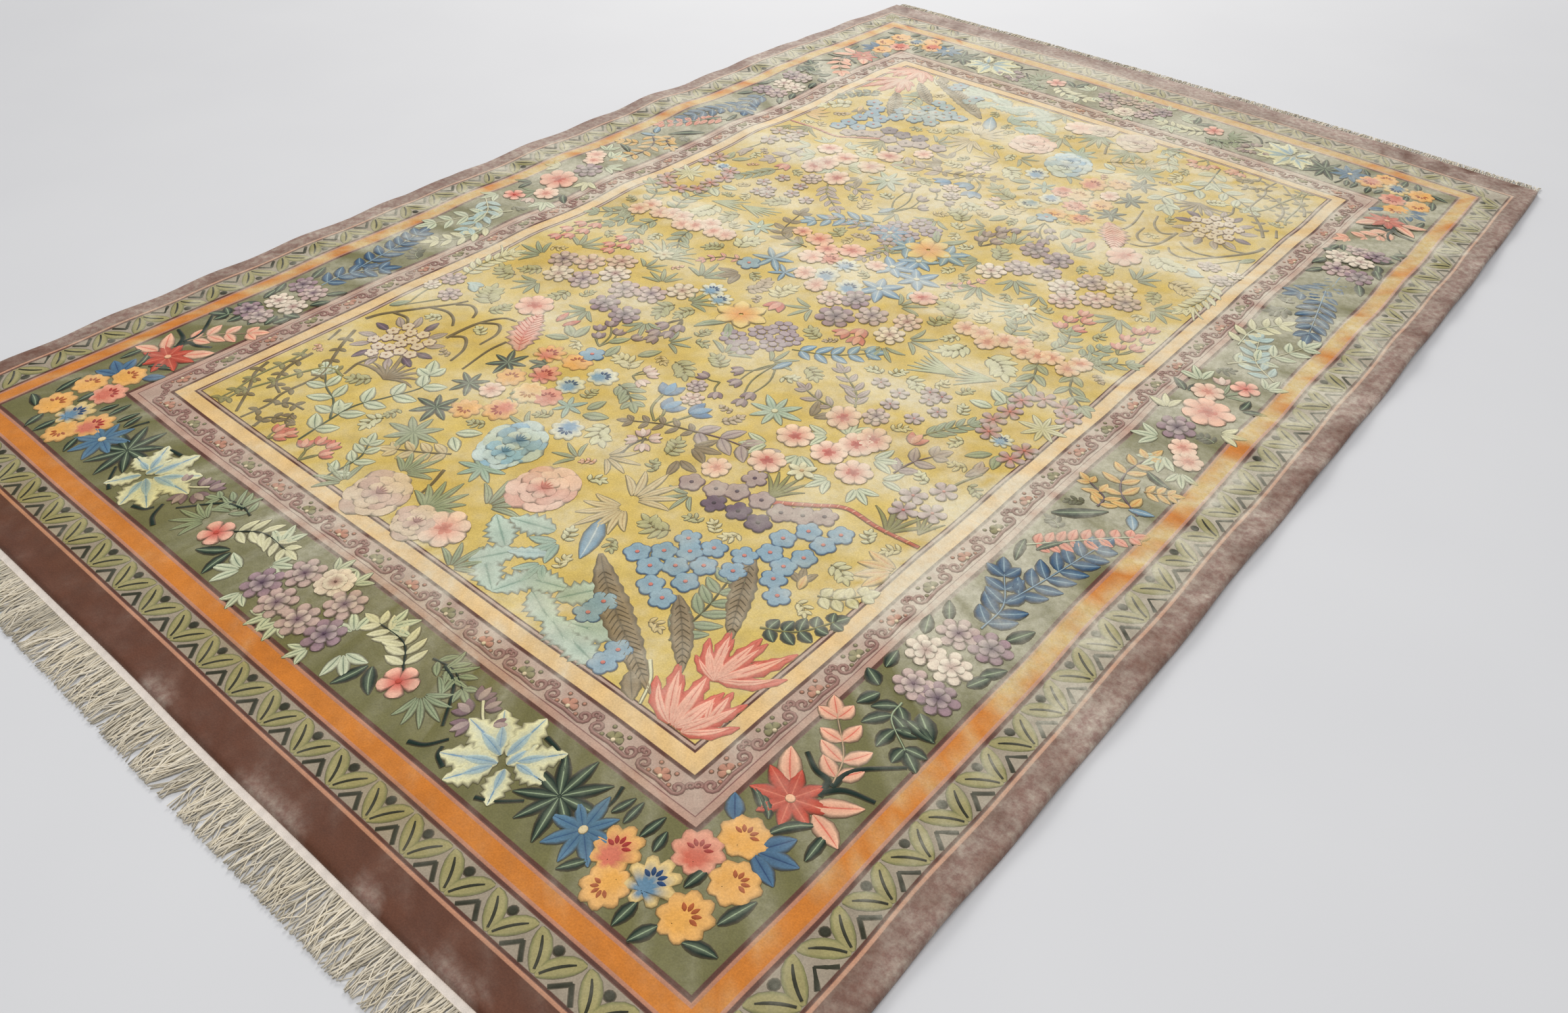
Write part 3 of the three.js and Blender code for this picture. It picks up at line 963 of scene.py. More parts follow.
LEAVES = {  # body, vein
    "white": (WHITE_LEAF, shade(54, 84, 64)),
    "pale": (PALE, shade(196, 190, 146)),
    "grey": (shade(172, 178, 140), shade(96, 104, 80)),
    "sage": (shade(160, 170, 132), shade(84, 98, 72)),
    "green": (GREEN, GREEN_VEIN),
    "deep_blue": (shade(28, 76, 112), shade(150, 176, 184)),
    "sky": (shade(84, 118, 144), shade(36, 62, 100)),
    "blue": (shade(112, 150, 172), shade(206, 216, 208)),
    "pale_blue": (shade(184, 204, 194), shade(150, 176, 172)),
    "cream_blue": (shade(230, 224, 176), shade(92, 140, 178)),
    "mauve": (shade(188, 168, 156), shade(122, 98, 104)),
    "purple": (shade(92, 66, 88), shade(150, 124, 140)),
    "tan": (shade(220, 198, 146), shade(166, 134, 86)),
    "brown": (BROWN_LEAF, shade(88, 72, 46)),
    "coral": (shade(232, 158, 132), RED),
    "flame": (shade(214, 104, 84), RED),
    "rose": (shade(238, 180, 160), shade(208, 106, 92)),
    "red": (RED, shade(236, 150, 124)),
    "peach": (shade(244, 190, 156), shade(216, 96, 76)),
    "yellow": (shade(226, 190, 118), shade(214, 134, 60)),
    "dark": (shade(74, 76, 50), shade(120, 120, 84)),
    "aqua": (shade(168, 190, 168), shade(120, 148, 130)),
}
NARROW_FANS = ("grey", "sage", "tan")
FAN_SPREAD = 130  # the degrees that a fan's leaves divide between them
LARGE_LEAF = 0.1  # a brown or rose leaf longer than this shows its side veins


def cup(carving, centre, radius, turn, body, rim, heart):
    """A round flower of five shallow lobes with a dark edge and a small heart."""
    disc(carving, centre, radius, body, lobes=5, notch=0.3, turn=turn, rim=rim, level=0.9 * MM,
         heart=mixed(body, rim, 0.12))
    disc(carving, centre, radius * 0.17, heart, rise=0.5 * MM, level=1.9 * MM, rim=rim)


def soft(carving, centre, radius, turn, outer, inner, mark):
    """A soft eight-lobed flower, deeper on one side, with five drops over its heart."""
    # its rim is painted shade: the outer yarn darkened towards the groove shade
    disc(carving, centre, radius, outer, lobes=8, notch=0.32, turn=turn, level=0.5 * MM,
         heart=inner, rim=mixed(outer, GROOVE_SHADE, 0.4), lean=0.5)
    for k in range(-2, 3):
        heading = turn + 90 + 36 * k
        start = centre + direction(heading) * radius * 0.18
        leaf(carving, start, heading, radius * 0.36, radius * 0.17, mark, level=1.1 * MM, rim=mark)


def open_star(carving, centre, radius, turn, body, vein, heart, count, width):
    """Pointed petals with a pale line along each, round a small heart."""
    star_leaf(carving, centre, radius, count, turn, body, vein, width=width, level=0.5 * MM)
    disc(carving, centre, radius * 0.12, heart, rise=0.7 * MM, level=1.3 * MM)


def rays(carving, centre, radius, turn):
    """Eight pale rays with olive veins and no heart."""
    star_leaf(carving, centre, radius, 8, turn, PALE, OLIVE_STEM)


def petals(carving, centre, radius, turn, base, tip, count, plump, heart=None, heart_size=0.16,
           pointed=False):
    """One ring of petals, with or without a heart."""
    if heart is None:
        heart_size = 0
    look = (base, tip, base if heart is None else heart, heart_size, pointed, plump)
    flower(carving, centre, radius, count, turn, look)


def double(carving, centre, radius, turn, base, tip):
    """Two rings of narrow petals, dark at their feet."""
    petals(carving, centre, radius, turn, base, tip, 7, 0.62)
    look = (base, mixed(tip, SILVER, 0.2), base, 0.13, False, 0.64)
    flower(carving, centre, radius * 0.58, 5, turn + 20, look, level=1.7 * MM)


def cluster(carving, centre, radius, turn, body, rim):
    """A head of small rounds, each with a dark edge."""
    for k in range(8):
        away = radius * (0.68 if k else 0)
        place = centre + direction(turn + 360 * k / 7) * away
        disc(carving, place, radius * 0.3, mixed(body, rim, 0.25 * (k % 2)), rim=rim,
             level=(0.3 if k else 0.9) * MM)


def rosette(carving, centre, radius, turn, edge, body, deep):
    """A full flower of three rings of wide petals, deeper towards their feet."""
    rings = [  # radius share, petals, foot, height in mm, petal width share
        (1.0, 9, deep, 0.4, 0.42),
        (0.74, 7, mixed(deep, body, 0.3), 1.0, 0.46),
        (0.46, 5, deep, 1.6, 0.5),
    ]
    for share, count, foot, level, wide in rings:
        for k in range(count):
            heading = turn + 360 * k / count + 20 * share + rng.uniform(-7, 7)
            size = radius * share * rng.uniform(0.86, 1.06)
            tints = petal_tints(foot, edge if k % 3 else body, PETAL_SHARES * 1.1)
            spine = arc(centre, heading, size, rng.uniform(-16, 16), PETAL_SHARES)
            half = size * wide * ROUND_WIDTHS
            blade(carving, spine, half, tints, level=(level + 0.15 * (k % 2)) * MM)
    for k in range(5):
        heading = turn + 90 + 24 * (k - 2)
        leaf(carving, centre, heading, radius * 0.3, radius * 0.05, deep, level=2.6 * MM, rim=deep)


def snowball(carving, centre, radius, turn, *yarns):
    """A ball of small flowers in a ruff of purple leaves."""
    for k in range(13):
        heading = turn + 27.7 * k
        start = centre + direction(heading) * radius * 0.85
        leaf(carving, start, heading + 12, radius * 0.6, radius * 0.26,
             *LEAVES["purple" if k % 3 == 0 else "mauve"])
    for k in range(17):
        away = radius * 0.93 * math.sqrt((k + 0.3) / 17)
        place = centre + direction(turn + 137.5 * k) * away
        cup(carving, place, radius * 0.21, 40 * k, *yarns)


def bell(carving, centre, radius, turn, body, deep):
    """A small flower seen from the side."""
    for k, side in enumerate((-32, 32, 0)):
        start = centre - direction(turn) * radius * 0.7
        leaf(carving, start, turn + side, radius * 1.8, radius * 0.95, deep if side else body,
             level=(0.4 + 0.2 * k) * MM)


def blossom(carving, centre, radius, turn, outer, inner):
    """A layered blossom with a deep throat."""
    petals(carving, centre, radius, turn, mixed(inner, outer, 0.25), outer, 7, 0.78)
    disc(carving, centre, radius * 0.42, mixed(inner, outer, 0.15), lobes=5, notch=0.35, turn=turn,
         level=1.0 * MM, rise=0.7 * MM, rim=mixed(inner, outer, 0.3), heart=inner * 0.8)


# Each kind: its form and the form's yarns. Then petals() takes how many petals, their plumpness,
# the heart, its size and whether the petals are pointed; open_star() how many and how wide.
FLOWERS = {
    "blue_cup": (cup, (138, 168, 182), (44, 84, 122), (206, 112, 98)),
    "mauve_cup": (cup, (176, 152, 142), (104, 78, 88), (84, 62, 76)),
    "plum_cup": (cup, (104, 80, 96), (66, 48, 62), (60, 42, 56)),
    "apricot": (soft, (234, 178, 104), (232, 170, 84), (176, 92, 48)),
    "apricot_rose": (soft, (234, 178, 104), (214, 118, 92), (172, 50, 44)),
    "rose": (soft, (232, 162, 132), (210, 108, 84), (170, 56, 48)),
    "pale_apricot": (soft, (238, 206, 146), (232, 184, 118), (196, 132, 72)),
    "apricot_blue": (soft, (232, 200, 132), (96, 132, 156), (40, 70, 110)),
    "white_blue": (soft, (228, 222, 190), (118, 156, 184), (50, 84, 126)),
    "mauve_eight": (double, (112, 84, 98), (200, 172, 162)),
    "rose_eight": (double, (170, 118, 110), (226, 194, 172)),
    "plum_eight": (double, (84, 60, 80), (162, 132, 138)),
    "pale_eight": (double, (176, 138, 128), (234, 216, 192)),
    "pink_five": (petals, (204, 84, 72), (242, 184, 158), 5, 0.6, (196, 78, 62)),
    "mauve_four": (petals, (150, 116, 116), (196, 176, 166), 5, 0.5, (206, 100, 92), 0.12),
    "wreath": (petals, (186, 112, 100), (186, 160, 152), 5, 0.44, (206, 110, 88), 0.13),
    "line_star": (petals, (226, 150, 70), (238, 208, 130), 6, 0.62, None, 0, True),
    "small_star": (petals, (214, 196, 150), (226, 220, 178), 6, 0.5, (206, 168, 120), 0.16, True),
    "berry": (cluster, (176, 156, 158), (110, 84, 98)),
    "blue_star": (open_star, (98, 144, 176), (212, 220, 210), (222, 214, 180), 6, 0.46),
    "deep_star": (open_star, (92, 128, 150), (48, 82, 118), (224, 204, 158), 8, 0.38),
    "red_star": (open_star, (190, 72, 52), (220, 122, 96), (240, 184, 144), 8, 0.46),
    "aqua_star": (open_star, (186, 202, 178), (132, 156, 132), (226, 220, 178), 8, 0.3),
    "rays": (rays,),
    "blossom": (blossom, (242, 192, 164), (204, 88, 72)),
    "coral_lily": (blossom, (240, 206, 178), (196, 74, 64)),
    "pale_blossom": (blossom, (240, 206, 178), (222, 140, 118)),
    "dahlia": (rosette, (222, 196, 164), (208, 176, 154), (176, 138, 128)),
    "pink_peony": (rosette, (238, 198, 174), (226, 176, 154), (206, 128, 112)),
    "blue_peony": (rosette, (196, 208, 196), (148, 180, 196), (78, 120, 154)),
    "frill": (rosette, (196, 214, 214), (150, 190, 212), (96, 146, 182)),
    "snowball": (snowball, (230, 210, 182), (120, 84, 96), (190, 150, 110)),
    "blue_bell": (bell, (104, 152, 186), (70, 116, 156)),
    "mauve_bell": (bell, (180, 156, 148), (136, 108, 112)),
    "pink_bell": (bell, (232, 168, 144), (208, 118, 102)),
    "pale_bell": (bell, (232, 206, 186), (214, 178, 160)),
}


def bloom(carving, kind, place, size, turn):
    """A flower of one of the kinds above."""
    form, *looks = FLOWERS[kind]
    looks = [shade(*look) if isinstance(look, tuple) else look for look in looks]
    form(carving, place, size, turn, *looks)


def fan(carving, place, heading, size, leaves, look):
    """Leaves spread from one place; those of some looks are narrower, longer and one more."""
    lean = FAN_SPREAD / max(2, leaves)
    width = 0.36
    if look in NARROW_FANS:
        leaves, width, size = leaves + 1, 0.17, size * 1.2
    for k in range(leaves):
        off = k - (leaves - 1) / 2
        turn = heading + lean * off
        start = place + direction(turn) * size * 0.12
        leaf(carving, start, turn, size * (1 - 0.12 * abs(off)), size * width, *LEAVES[look],
             level=0.1 * MM * k, bend=0.6 * (turn - heading))


def single_leaf(carving, look, place, heading, length, width, bend, teeth):
    """A leaf of one of the looks, with what its look adds."""
    body, vein = LEAVES[look]
    cut = 0.12 if look == "brown" else 0.26
    rim = RED if look == "flame" else None
    if look == "flame":
        width = width * 0.62
        for lean in (-22, 20):
            leaf(carving, place, heading + lean, length * 0.8, width * 0.8, body, vein,
                 bend=bend - lean, teeth=3, level=0.4 * MM, rim=RED)
    leaf(carving, place, heading, length, width, body, vein, bend=bend, teeth=teeth,
         level=0.5 * MM, rim=rim, cut=cut)
    if look == "flame":
        for lean in (-22, 0, 20):
            leaf(carving, place, heading + lean, length * (0.66 if lean else 0.84),
                 width * (0.4 if lean else 0.6), FLAME_HEART, RED, bend=bend - lean,
                 level=1.0 * MM, rim=FLAME_RIM)
    if look == "cream_blue":
        leaf(carving, place, heading, length * 0.6, width * 0.3, *BLUE_HEART, bend=bend,
             level=1.0 * MM, rim=BLUE_RIM)
    if length > LARGE_LEAF and look in ("brown", "rose"):
        side_veins(carving, place, heading, length, width, vein, bend)


def side_veins(carving, base, heading, length, width, tint, bend):
    """Short slanting lines on either side of a large leaf's middle."""
    count = round(length / (14 * MM))
    shares = np.linspace(0.14, 0.86, count)
    spine = arc(base, heading, length, bend, shares)
    thickness = np.array([0.7, 0.6, 0.3]) * MM
    for k in range(count):
        for side in (-1, 1):
            turn = heading + bend * (shares[k] - 0.5) + side * 42
            size = width * 0.5 * np.interp(shares[k], LEAF_SHARES, LEAF_WIDTHS)
            line = arc(spine[k], turn, size, -14 * side, [0.1, 0.5, 1.0])
            blade(carving, line, thickness, tint, rise=0.2 * MM, level=1.5 * MM, rim=tint)


def bud_sprig(carving, kind, size, tint, root, tips):
    """Thin stems from one root to a few buds."""
    for k, tip in enumerate(tips):
        step = tip - root
        side = np.array([-step[1], step[0]]) * 0.12 * (-1) ** k
        stem(carving, [root, (root + tip) / 2 + side, tip], 1.8 * MM, tint, steps=4)
        bloom(carving, kind, tip, size, heading_of(step))


def vine_leaves(carving, routes):
    """Small leaves in pairs at a few joints of each vine."""
    for tint, _, *route in routes:
        spine = smooth_line(metres(route), 5)
        for k in range(3, len(spine) - 1, 4):
            heading = heading_of(spine[k + 1] - spine[k - 1])
            for side in (-1, 1):
                leaf(carving, spine[k], heading + side * 62, 17 * MM, 8 * MM,
                     mixed(tint, TAN, 0.25), bend=-30 * side)


def striped_bark(carving, route):
    """A red bough with pink dashes across it."""
    spine = stem(carving, metres(route), 9 * MM, shade(190, 84, 64), taper=0.7, steps=8)
    for k in range(2, len(spine) - 1, 2):
        heading = heading_of(spine[k + 1] - spine[k - 1]) + 70
        leaf(carving, spine[k] - direction(heading) * 4 * MM, heading, 8 * MM, 3 * MM,
             shade(236, 172, 142), level=0.9 * MM, rim=shade(214, 128, 100))


def feathery_leaves(carving, rows):
    """Broad toothed leaves, each about its place."""
    for u, v, heading in rows:
        start = metres((u, v)) - direction(heading) * 0.036
        leaf(carving, start, heading, 0.074, 0.050, shade(190, 206, 186), LEAVES["aqua"][1],
             teeth=6)


def metres(sizes):
    """Sizes in mm as an array of metres."""
    return np.array(sizes) / 1000


def drawn(carving, grasses=(), stems=(), sprays=(), fans=(), leaves=(), stars=(), buds=(),
          alike=(), flowers=()):
    """Draws a part of the design from its tables, which are described below."""
    for tint, u, v, heading, length, blades, lean in grasses:
        for k in range(blades):
            off = lean * (k / max(1, blades - 1) - 0.5)
            size = length / 1000 * rng.uniform(0.75, 1.05)
            leaf(carving, metres((u, v)), heading + off, size, size * 0.09, tint, bend=off * 0.8)
    for tint, width, *route in stems:
        stem(carving, metres(route), width * MM, tint)
    for look, count, length, width, lean, tint, *route in sprays:
        spray(carving, metres(route), count, length / 1000, width / 1000, tint, *LEAVES[look],
              spread=lean)
    for look, *rows in fans:
        for u, v, heading, size, count in rows:
            fan(carving, metres((u, v)), heading, size / 1000, count, look)
    for look, *rows in leaves:
        for u, v, heading, length, width, *rest in rows:
            bend, teeth = (*rest, 0, 0)[:2]
            single_leaf(carving, look, metres((u, v)), heading, length / 1000, width / 1000,
                        bend, teeth)
    for look, *rows in stars:
        for u, v, size, count, turn in rows:
            star_leaf(carving, metres((u, v)), size / 1000, count, turn, *LEAVES[look])
    for kind, size, tint, root, *tips in buds:
        bud_sprig(carving, kind, size / 1000, tint, metres(root), metres(tips))
    for kind, size, *places in alike:
        for k, place in enumerate(places):
            bloom(carving, kind, metres(place), size / 1000, 47 * k)
    for kind, *rows in flowers:
        for u, v, size, turn in rows:
            bloom(carving, kind, metres((u, v)), size / 1000, turn)


# The leaf band and the scroll band, repeated along every side

LEAF_PITCH = 73 * MM
LEAF_LENGTH = 54 * MM
LEAF_OLIVE = shade(160, 150, 100)
LEAF_DARK = shade(50, 50, 34)
LEAF_EDGE = shade(126, 124, 78)
BAND_LEAF_SHARES = np.array([0, 0.12, 0.3, 0.52, 0.74, 0.9, 1.0])
BAND_LEAF_WIDTHS = np.array([1.5, 6.2, 10, 11.2, 9.6, 5.6, 0.6]) * MM  # half widths
RIDGE_SHARES = np.linspace(0.08, 0.8, 6)
RIDGE_WIDTHS = np.array([0.8, 1.1, 1.3, 1.3, 1.1, 0.4]) * MM
SCROLL_PITCH = 81.5 * MM
SCROLL_LINE = shade(160, 122, 110)
SCROLL_PETALS = (shade(192, 138, 114), shade(146, 138, 98))
SCROLL_HEART = shade(226, 206, 168)


def border_frame(origin, along, inward):
    """A frame on a border's edge: (s, n) in mm is s along it and n in towards the field."""
    def place(s, n):
        return origin + s * MM * along + n * MM * inward

    return place, heading_of(along)


def band_line(carving, place, steps, width, tint, rim, rise):
    """A line of even half width, all in mm, through steps (s, n) of a border's frame."""
    line = np.array([place(s, n) for s, n in steps])
    blade(carving, line, np.full(len(line), width * MM), tint, rise=rise * MM, rim=rim)


def leaf_repeat(carving, place, along, _):
    """A pair of leaves that part from the outer edge, a dot between their tips, and half of
    the dark chevron on either side."""
    for side in (-1, 1):
        heading = along + 90 - side * 37
        base = place(side * 2, 1)
        bend = -side * 34
        spine = arc(base, heading, LEAF_LENGTH, bend, BAND_LEAF_SHARES)
        blade(carving, spine, BAND_LEAF_WIDTHS, LEAF_OLIVE, rim=LEAF_EDGE)
        ridge = arc(base, heading, LEAF_LENGTH, bend, RIDGE_SHARES)
        blade(carving, ridge, RIDGE_WIDTHS, LEAF_DARK, rise=0.3 * MM, level=1.1 * MM,
              rim=LEAF_DARK)
        chevron = [(side * 20, 1), (side * 28, 10), (side * LEAF_PITCH / 2 / MM, 20)]
        band_line(carving, place, chevron, 1.8, LEAF_DARK, LEAF_DARK, 0.4)
    disc(carving, place(0, 36), 5.8 * MM, LEAF_DARK, rise=0.8 * MM)


def volute(centre, radius, side):
    """A line that curls in on itself, from the bottom of a small scroll."""
    turns = np.radians(np.linspace(-90, 300, 11))
    size = radius * np.linspace(1, 0.28, 11)
    across = centre[0] + side * np.cos(turns) * size
    return list(zip(across, centre[1] + np.sin(turns) * size))


def scroll_repeat(carving, place, along, number):
    """A trefoil over a bracket whose ends curl up into scrolls."""
    right = volute((28, 15), 9.5, 1)
    left = volute((-28, 15), 9.5, -1)
    bracket = left[::-1] + [(-12, 6.5), (0, 7.5), (12, 6.5)] + right
    band_line(carving, place, bracket, 1.6, SCROLL_LINE, MAUVE_LINE, 0.9)
    petal = SCROLL_PETALS[number % 2]
    for way in (-1, 1):
        curl = volute((way * 38, 27), 5.5, -way)
        band_line(carving, place, curl, 1.3, SCROLL_LINE, MAUVE_LINE, 0.9)
    for lean in (-72, 0, 72):
        spine = arc(place(0, 15), along + 90 - lean, 12.5 * MM, 0, PETAL_SHARES)
        blade(carving, spine, ROUND_WIDTHS * 5.4 * MM, petal, rise=1.2 * MM)
    disc(carving, place(0, 13.5), 3 * MM, SCROLL_HEART, level=0.6 * MM)
    for s, n in ((-13, 29), (13, 29), (-17, 11), (17, 11)):
        disc(carving, place(s, n), 2.2 * MM, petal, rise=0.8 * MM)


def along_sides(carving, name, depth, pitch, repeat):
    """Places a repeat along the near end and the right side, with its frame on the band's
    outer edge."""
    side, end = band_start(name)
    half_u = PATTERN_HALF_WIDTH - side
    half_v = PATTERN_HALF_LENGTH - end
    runs = [  # outer edge's middle, along, inward, half length
        ((0, -half_v), (1, 0), (0, 1), half_u - depth),
        ((half_u, 0), (0, 1), (-1, 0), half_v - depth),
    ]
    for origin, along, inward, half in runs:
        origin, along, inward = np.array([origin, along, inward], float)
        count = round(2 * half / pitch)
        step = 2 * half / count
        for k in range(count):
            at = origin + along * (-half + step * (k + 0.5))
            repeat(carving, *border_frame(at, along, inward), k)


def leaf_band(carving):
    along_sides(carving, "leaf band", 40 * MM, LEAF_PITCH, leaf_repeat)
    side, end = band_start("leaf band")
    corner = (PATTERN_HALF_WIDTH - side - 4 * MM, -PATTERN_HALF_LENGTH + end + 4 * MM)
    for heading in (135, 112, 158):
        leaf(carving, corner, heading, 52 * MM, 15 * MM, LEAF_OLIVE, LEAF_DARK)


def scroll_band(carving):
    along_sides(carving, "scroll band", 30 * MM, SCROLL_PITCH, scroll_repeat)


def both_halves(ground, draw):
    """A design drawn once and again turned half round."""
    carving = Carving(ground)
    for carving.turn in (1, -1):
        draw(carving)
    return carving


# The tables that drawn() reads. Places, lengths and widths are in mm, and headings, spreads,
# bends and turns in degrees. Their columns:
#   grasses: yarn, u, v, middle heading, length, blades, spread
#   stems: yarn, width, and the places (u, v) that the stem goes through
#   sprays: look, leaves to a side, their length and width, spread, stem yarn, and its places
#   fans: look, and for each fan u, v, heading, size, leaves
#   leaves: look, and for each leaf u, v, heading, length, width, bend, teeth
#   stars: look, and for each star u, v, size, leaflets, turn
#   buds: kind, size, stem yarn, the root's place, and the buds' places
#   alike: kind, size, and the places of flowers that are turned on one by one
#   flowers: kind, and for each flower u, v, size, turn

# The main border: its near end, and the near end, fronds and middle of its long sides

NEAR_END = {
    "stems": [
        (GREEN, 5, (236, -1107), (270, -1119), (312, -1165)),
        (GREEN, 6, (300, -1204), (320, -1194), (335, -1172)),
        (GREEN, 6, (365, -1201), (345, -1194), (338, -1183)),
        (GREEN, 6, (425, -1100), (455, -1105), (478, -1119)),
        (GREEN, 5, (430, -1204), (450, -1194), (475, -1172)),
        (GREEN, 4, (546, -1090), (552, -1109), (552, -1128)),
        (PALE, 4, (318, -1111), (340, -1128), (362, -1137)),
    ],
    "sprays": [
        ("pale", 6, 34, 13, 50, GREEN, (205, -1144), (165, -1117), (110, -1117)),
        ("sage", 4, 28, 10, 50, GREEN, (215, -1109), (250, -1104), (285, -1117)),
    ],
    "fans": [
        ("white", (125, -1117, 60, 40, 3), (100, -1146, 150, 36, 3), (120, -1172, 330, 42, 3),
         (80, -1194, 250, 30, 3), (-10, -1190, 250, 34, 3), (20, -1100, 90, 30, 3)),
        ("sage", (252, -1152, 335, 42, 5), (240, -1119, 30, 40, 3)),
        ("green", (165, -1159, 290, 50, 2)),
    ],
    "leaves": [
        ("cream_blue", (425, -1159, 300, 50, 34, 0, 5), (430, -1147, 5, 46, 32, 0, 5),
         (410, -1165, 238, 56, 42, 0, 5), (412, -1159, 205, 76, 46, 0, 6),
         (405, -1150, 172, 78, 46, 10, 6), (428, -1144, 52, 56, 38, 0, 5),
         (398, -1146, 138, 62, 44, 0, 5), (412, -1146, 98, 66, 46, 0, 5),
         (422, -1154, 88, 44, 34, 0, 5)),
        ("green", (562, -1122, 76, 32, 12, 10), (584, -1123, 95, 34, 12), (612, -1124, 85, 37, 13),
         (637, -1127, 105, 28, 13), (691, -1137, 85, 35, 14), (745, -1146, 75, 45, 16),
         (732, -1181, 15, 40, 15, -20), (701, -1183, 250, 34, 16), (666, -1177, 270, 36, 16),
         (590, -1176, 235, 36, 14), (762, -1030, 95, 50, 14)),
        ("sky", (674, -1038, 130, 38, 22), (719, -1055, 18, 46, 24), (719, -1050, 62, 42, 24),
         (717, -1060, -24, 44, 22)),
    ],
    "stars": [
        ("green", (500, -1144, 58, 9, 12)),
    ],
    "flowers": [
        ("deep_star", (555, -1156, 46, 12)),
        ("pink_five", (216, -1157, 25, 20)),
        ("mauve_bell", (312, -1106, 13, 100), (334, -1111, 12, 70), (312, -1133, 13, 180),
         (330, -1151, 13, 250), (366, -1124, 11, 40)),
        ("mauve_eight", (46, -1126, 28, 10), (25, -1177, 28, 30)),
        ("plum_eight", (74, -1170, 28, 0)),
        ("pale_eight", (0, -1111, 27, 20)),
        ("apricot_rose", (603, -1149, 31, 10)),
        ("apricot_blue", (661, -1152, 30, 0)),
        ("apricot", (715, -1159, 30, -20), (627, -1187, 28, 160)),
        ("rose", (672, -1096, 30, 20)),
        ("apricot", (726, -1100, 29, -30), (696, -1048, 30, 5)),
    ],
}
LONG_END = {
    "stems": [
        (GREEN, 9, (721, -950), (717, -926), (697, -922), (674, -908)),
        (GREEN, 9, (719, -945), (739, -924), (773, -915)),
        (GREEN, 8, (725, -930), (729, -895), (771, -850)),
    ],
    "sprays": [
        ("peach", 4, 38, 21, 50, shade(196, 164, 128), (723, -925), (708, -884), (666, -840)),
        ("green", 4, 38, 19, 50, GREEN_VEIN, (712, -770), (717, -800), (756, -830)),
    ],
    "leaves": [
        ("peach", (687, -955, 128, 52, 28, -10), (721, -968, 38, 62, 26, 10),
         (732, -975, 338, 50, 26, -10)),
        ("green", (687, -1008, 150, 36, 12, 60), (700, -1012, 150, 44, 13, 60),
         (712, -1030, 52, 62, 14, -50), (674, -765, 155, 32, 22), (682, -775, 250, 34, 20),
         (738, -770, 320, 46, 26), (732, -790, 350, 44, 22)),
    ],
    "flowers": [
        ("red_star", (701, -974, 48, 20)),
    ],
}
LONG_FROND = {
    "sprays": [
        ("deep_blue", 5, 42, 21, 48, shade(140, 168, 184), (714, -600), (712, -545), (680, -490)),
        ("deep_blue", 7, 42, 21, 48, shade(140, 168, 184), (712, -535), (732, -440), (749, -355)),
    ],
    "leaves": [
        ("green", (663, -735, 100, 34, 18), (756, -695, 70, 36, 18), (758, -670, 60, 36, 18),
         (666, -655, 115, 36, 18), (676, -615, 125, 38, 16), (749, -598, 65, 44, 20)),
    ],
    "flowers": [
        ("mauve_eight", (698, -627, 28, 0)),
        ("plum_eight", (742, -622, 28, 15)),
        ("pale_eight", (684, -679, 28, 30), (725, -683, 28, 5)),
        ("mauve_eight", (706, -736, 27, 40)),
        ("plum_eight", (741, -736, 28, 20)),
    ],
}
LONG_MIDDLE = {
    "sprays": [
        ("yellow", 6, 34, 15, 58, shade(112, 88, 100), (756, -250), (712, -212), (696, -160),
         (705, -105)),
        ("yellow", 4, 28, 13, 55, shade(112, 88, 100), (705, -270), (701, -243), (667, -222)),
        ("yellow", 3, 26, 12, 50, shade(190, 150, 90), (737, -190), (768, -172)),
        ("coral", 8, 27, 16, 55, WHITE_LEAF, (670, -414), (716, -365), (774, -300)),
        ("pale_blue", 6, 40, 16, 48, PALE, (764, 230), (713, 270), (689, 340)),
        ("white", 5, 42, 18, 48, PALE, (679, 230), (728, 300), (762, 370)),
        ("pale", 5, 36, 16, 52, WHITE_LEAF, (667, 300), (667, 360), (699, 410)),
    ],
    "fans": [
        ("white", (692, -45, 200, 42, 3), (717, -85, 270, 46, 4), (756, -110, 300, 36, 3),
         (671, 150, 130, 44, 3), (764, 195, 80, 40, 3)),
        ("pale", (667, 30, 120, 40, 3), (763, 20, 20, 36, 3)),
        ("green", (669, 100, 110, 44, 2), (758, 105, 60, 40, 2)),
        ("sage", (718, 130, 80, 34, 3)),
    ],
    "leaves": [
        ("green", (662, -330, 45, 85, 22, 20), (718, -140, -20, 50, 14, 40),
         (687, -415, 60, 50, 12, -20), (663, -405, 285, 50, 14, 10)),
        ("blue", (740, -245, 20, 36, 16), (749, -255, 300, 36, 16)),
    ],
    "flowers": [
        ("plum_eight", (704, -8, 33, 0)),
        ("pale_blossom", (734, -50, 24, 0), (755, -78, 24, 30)),
        ("blossom", (723, 64, 42, 15)),
        ("pale_blossom", (695, 124, 27, 0)),
        ("pink_five", (736, 176, 24, 0)),
        ("pale_bell", (698, 170, 14, 120)),
    ],
}

# The field's design: drawn once for its lower half and again turned half round, with a
# group of flowers in the middle drawn once

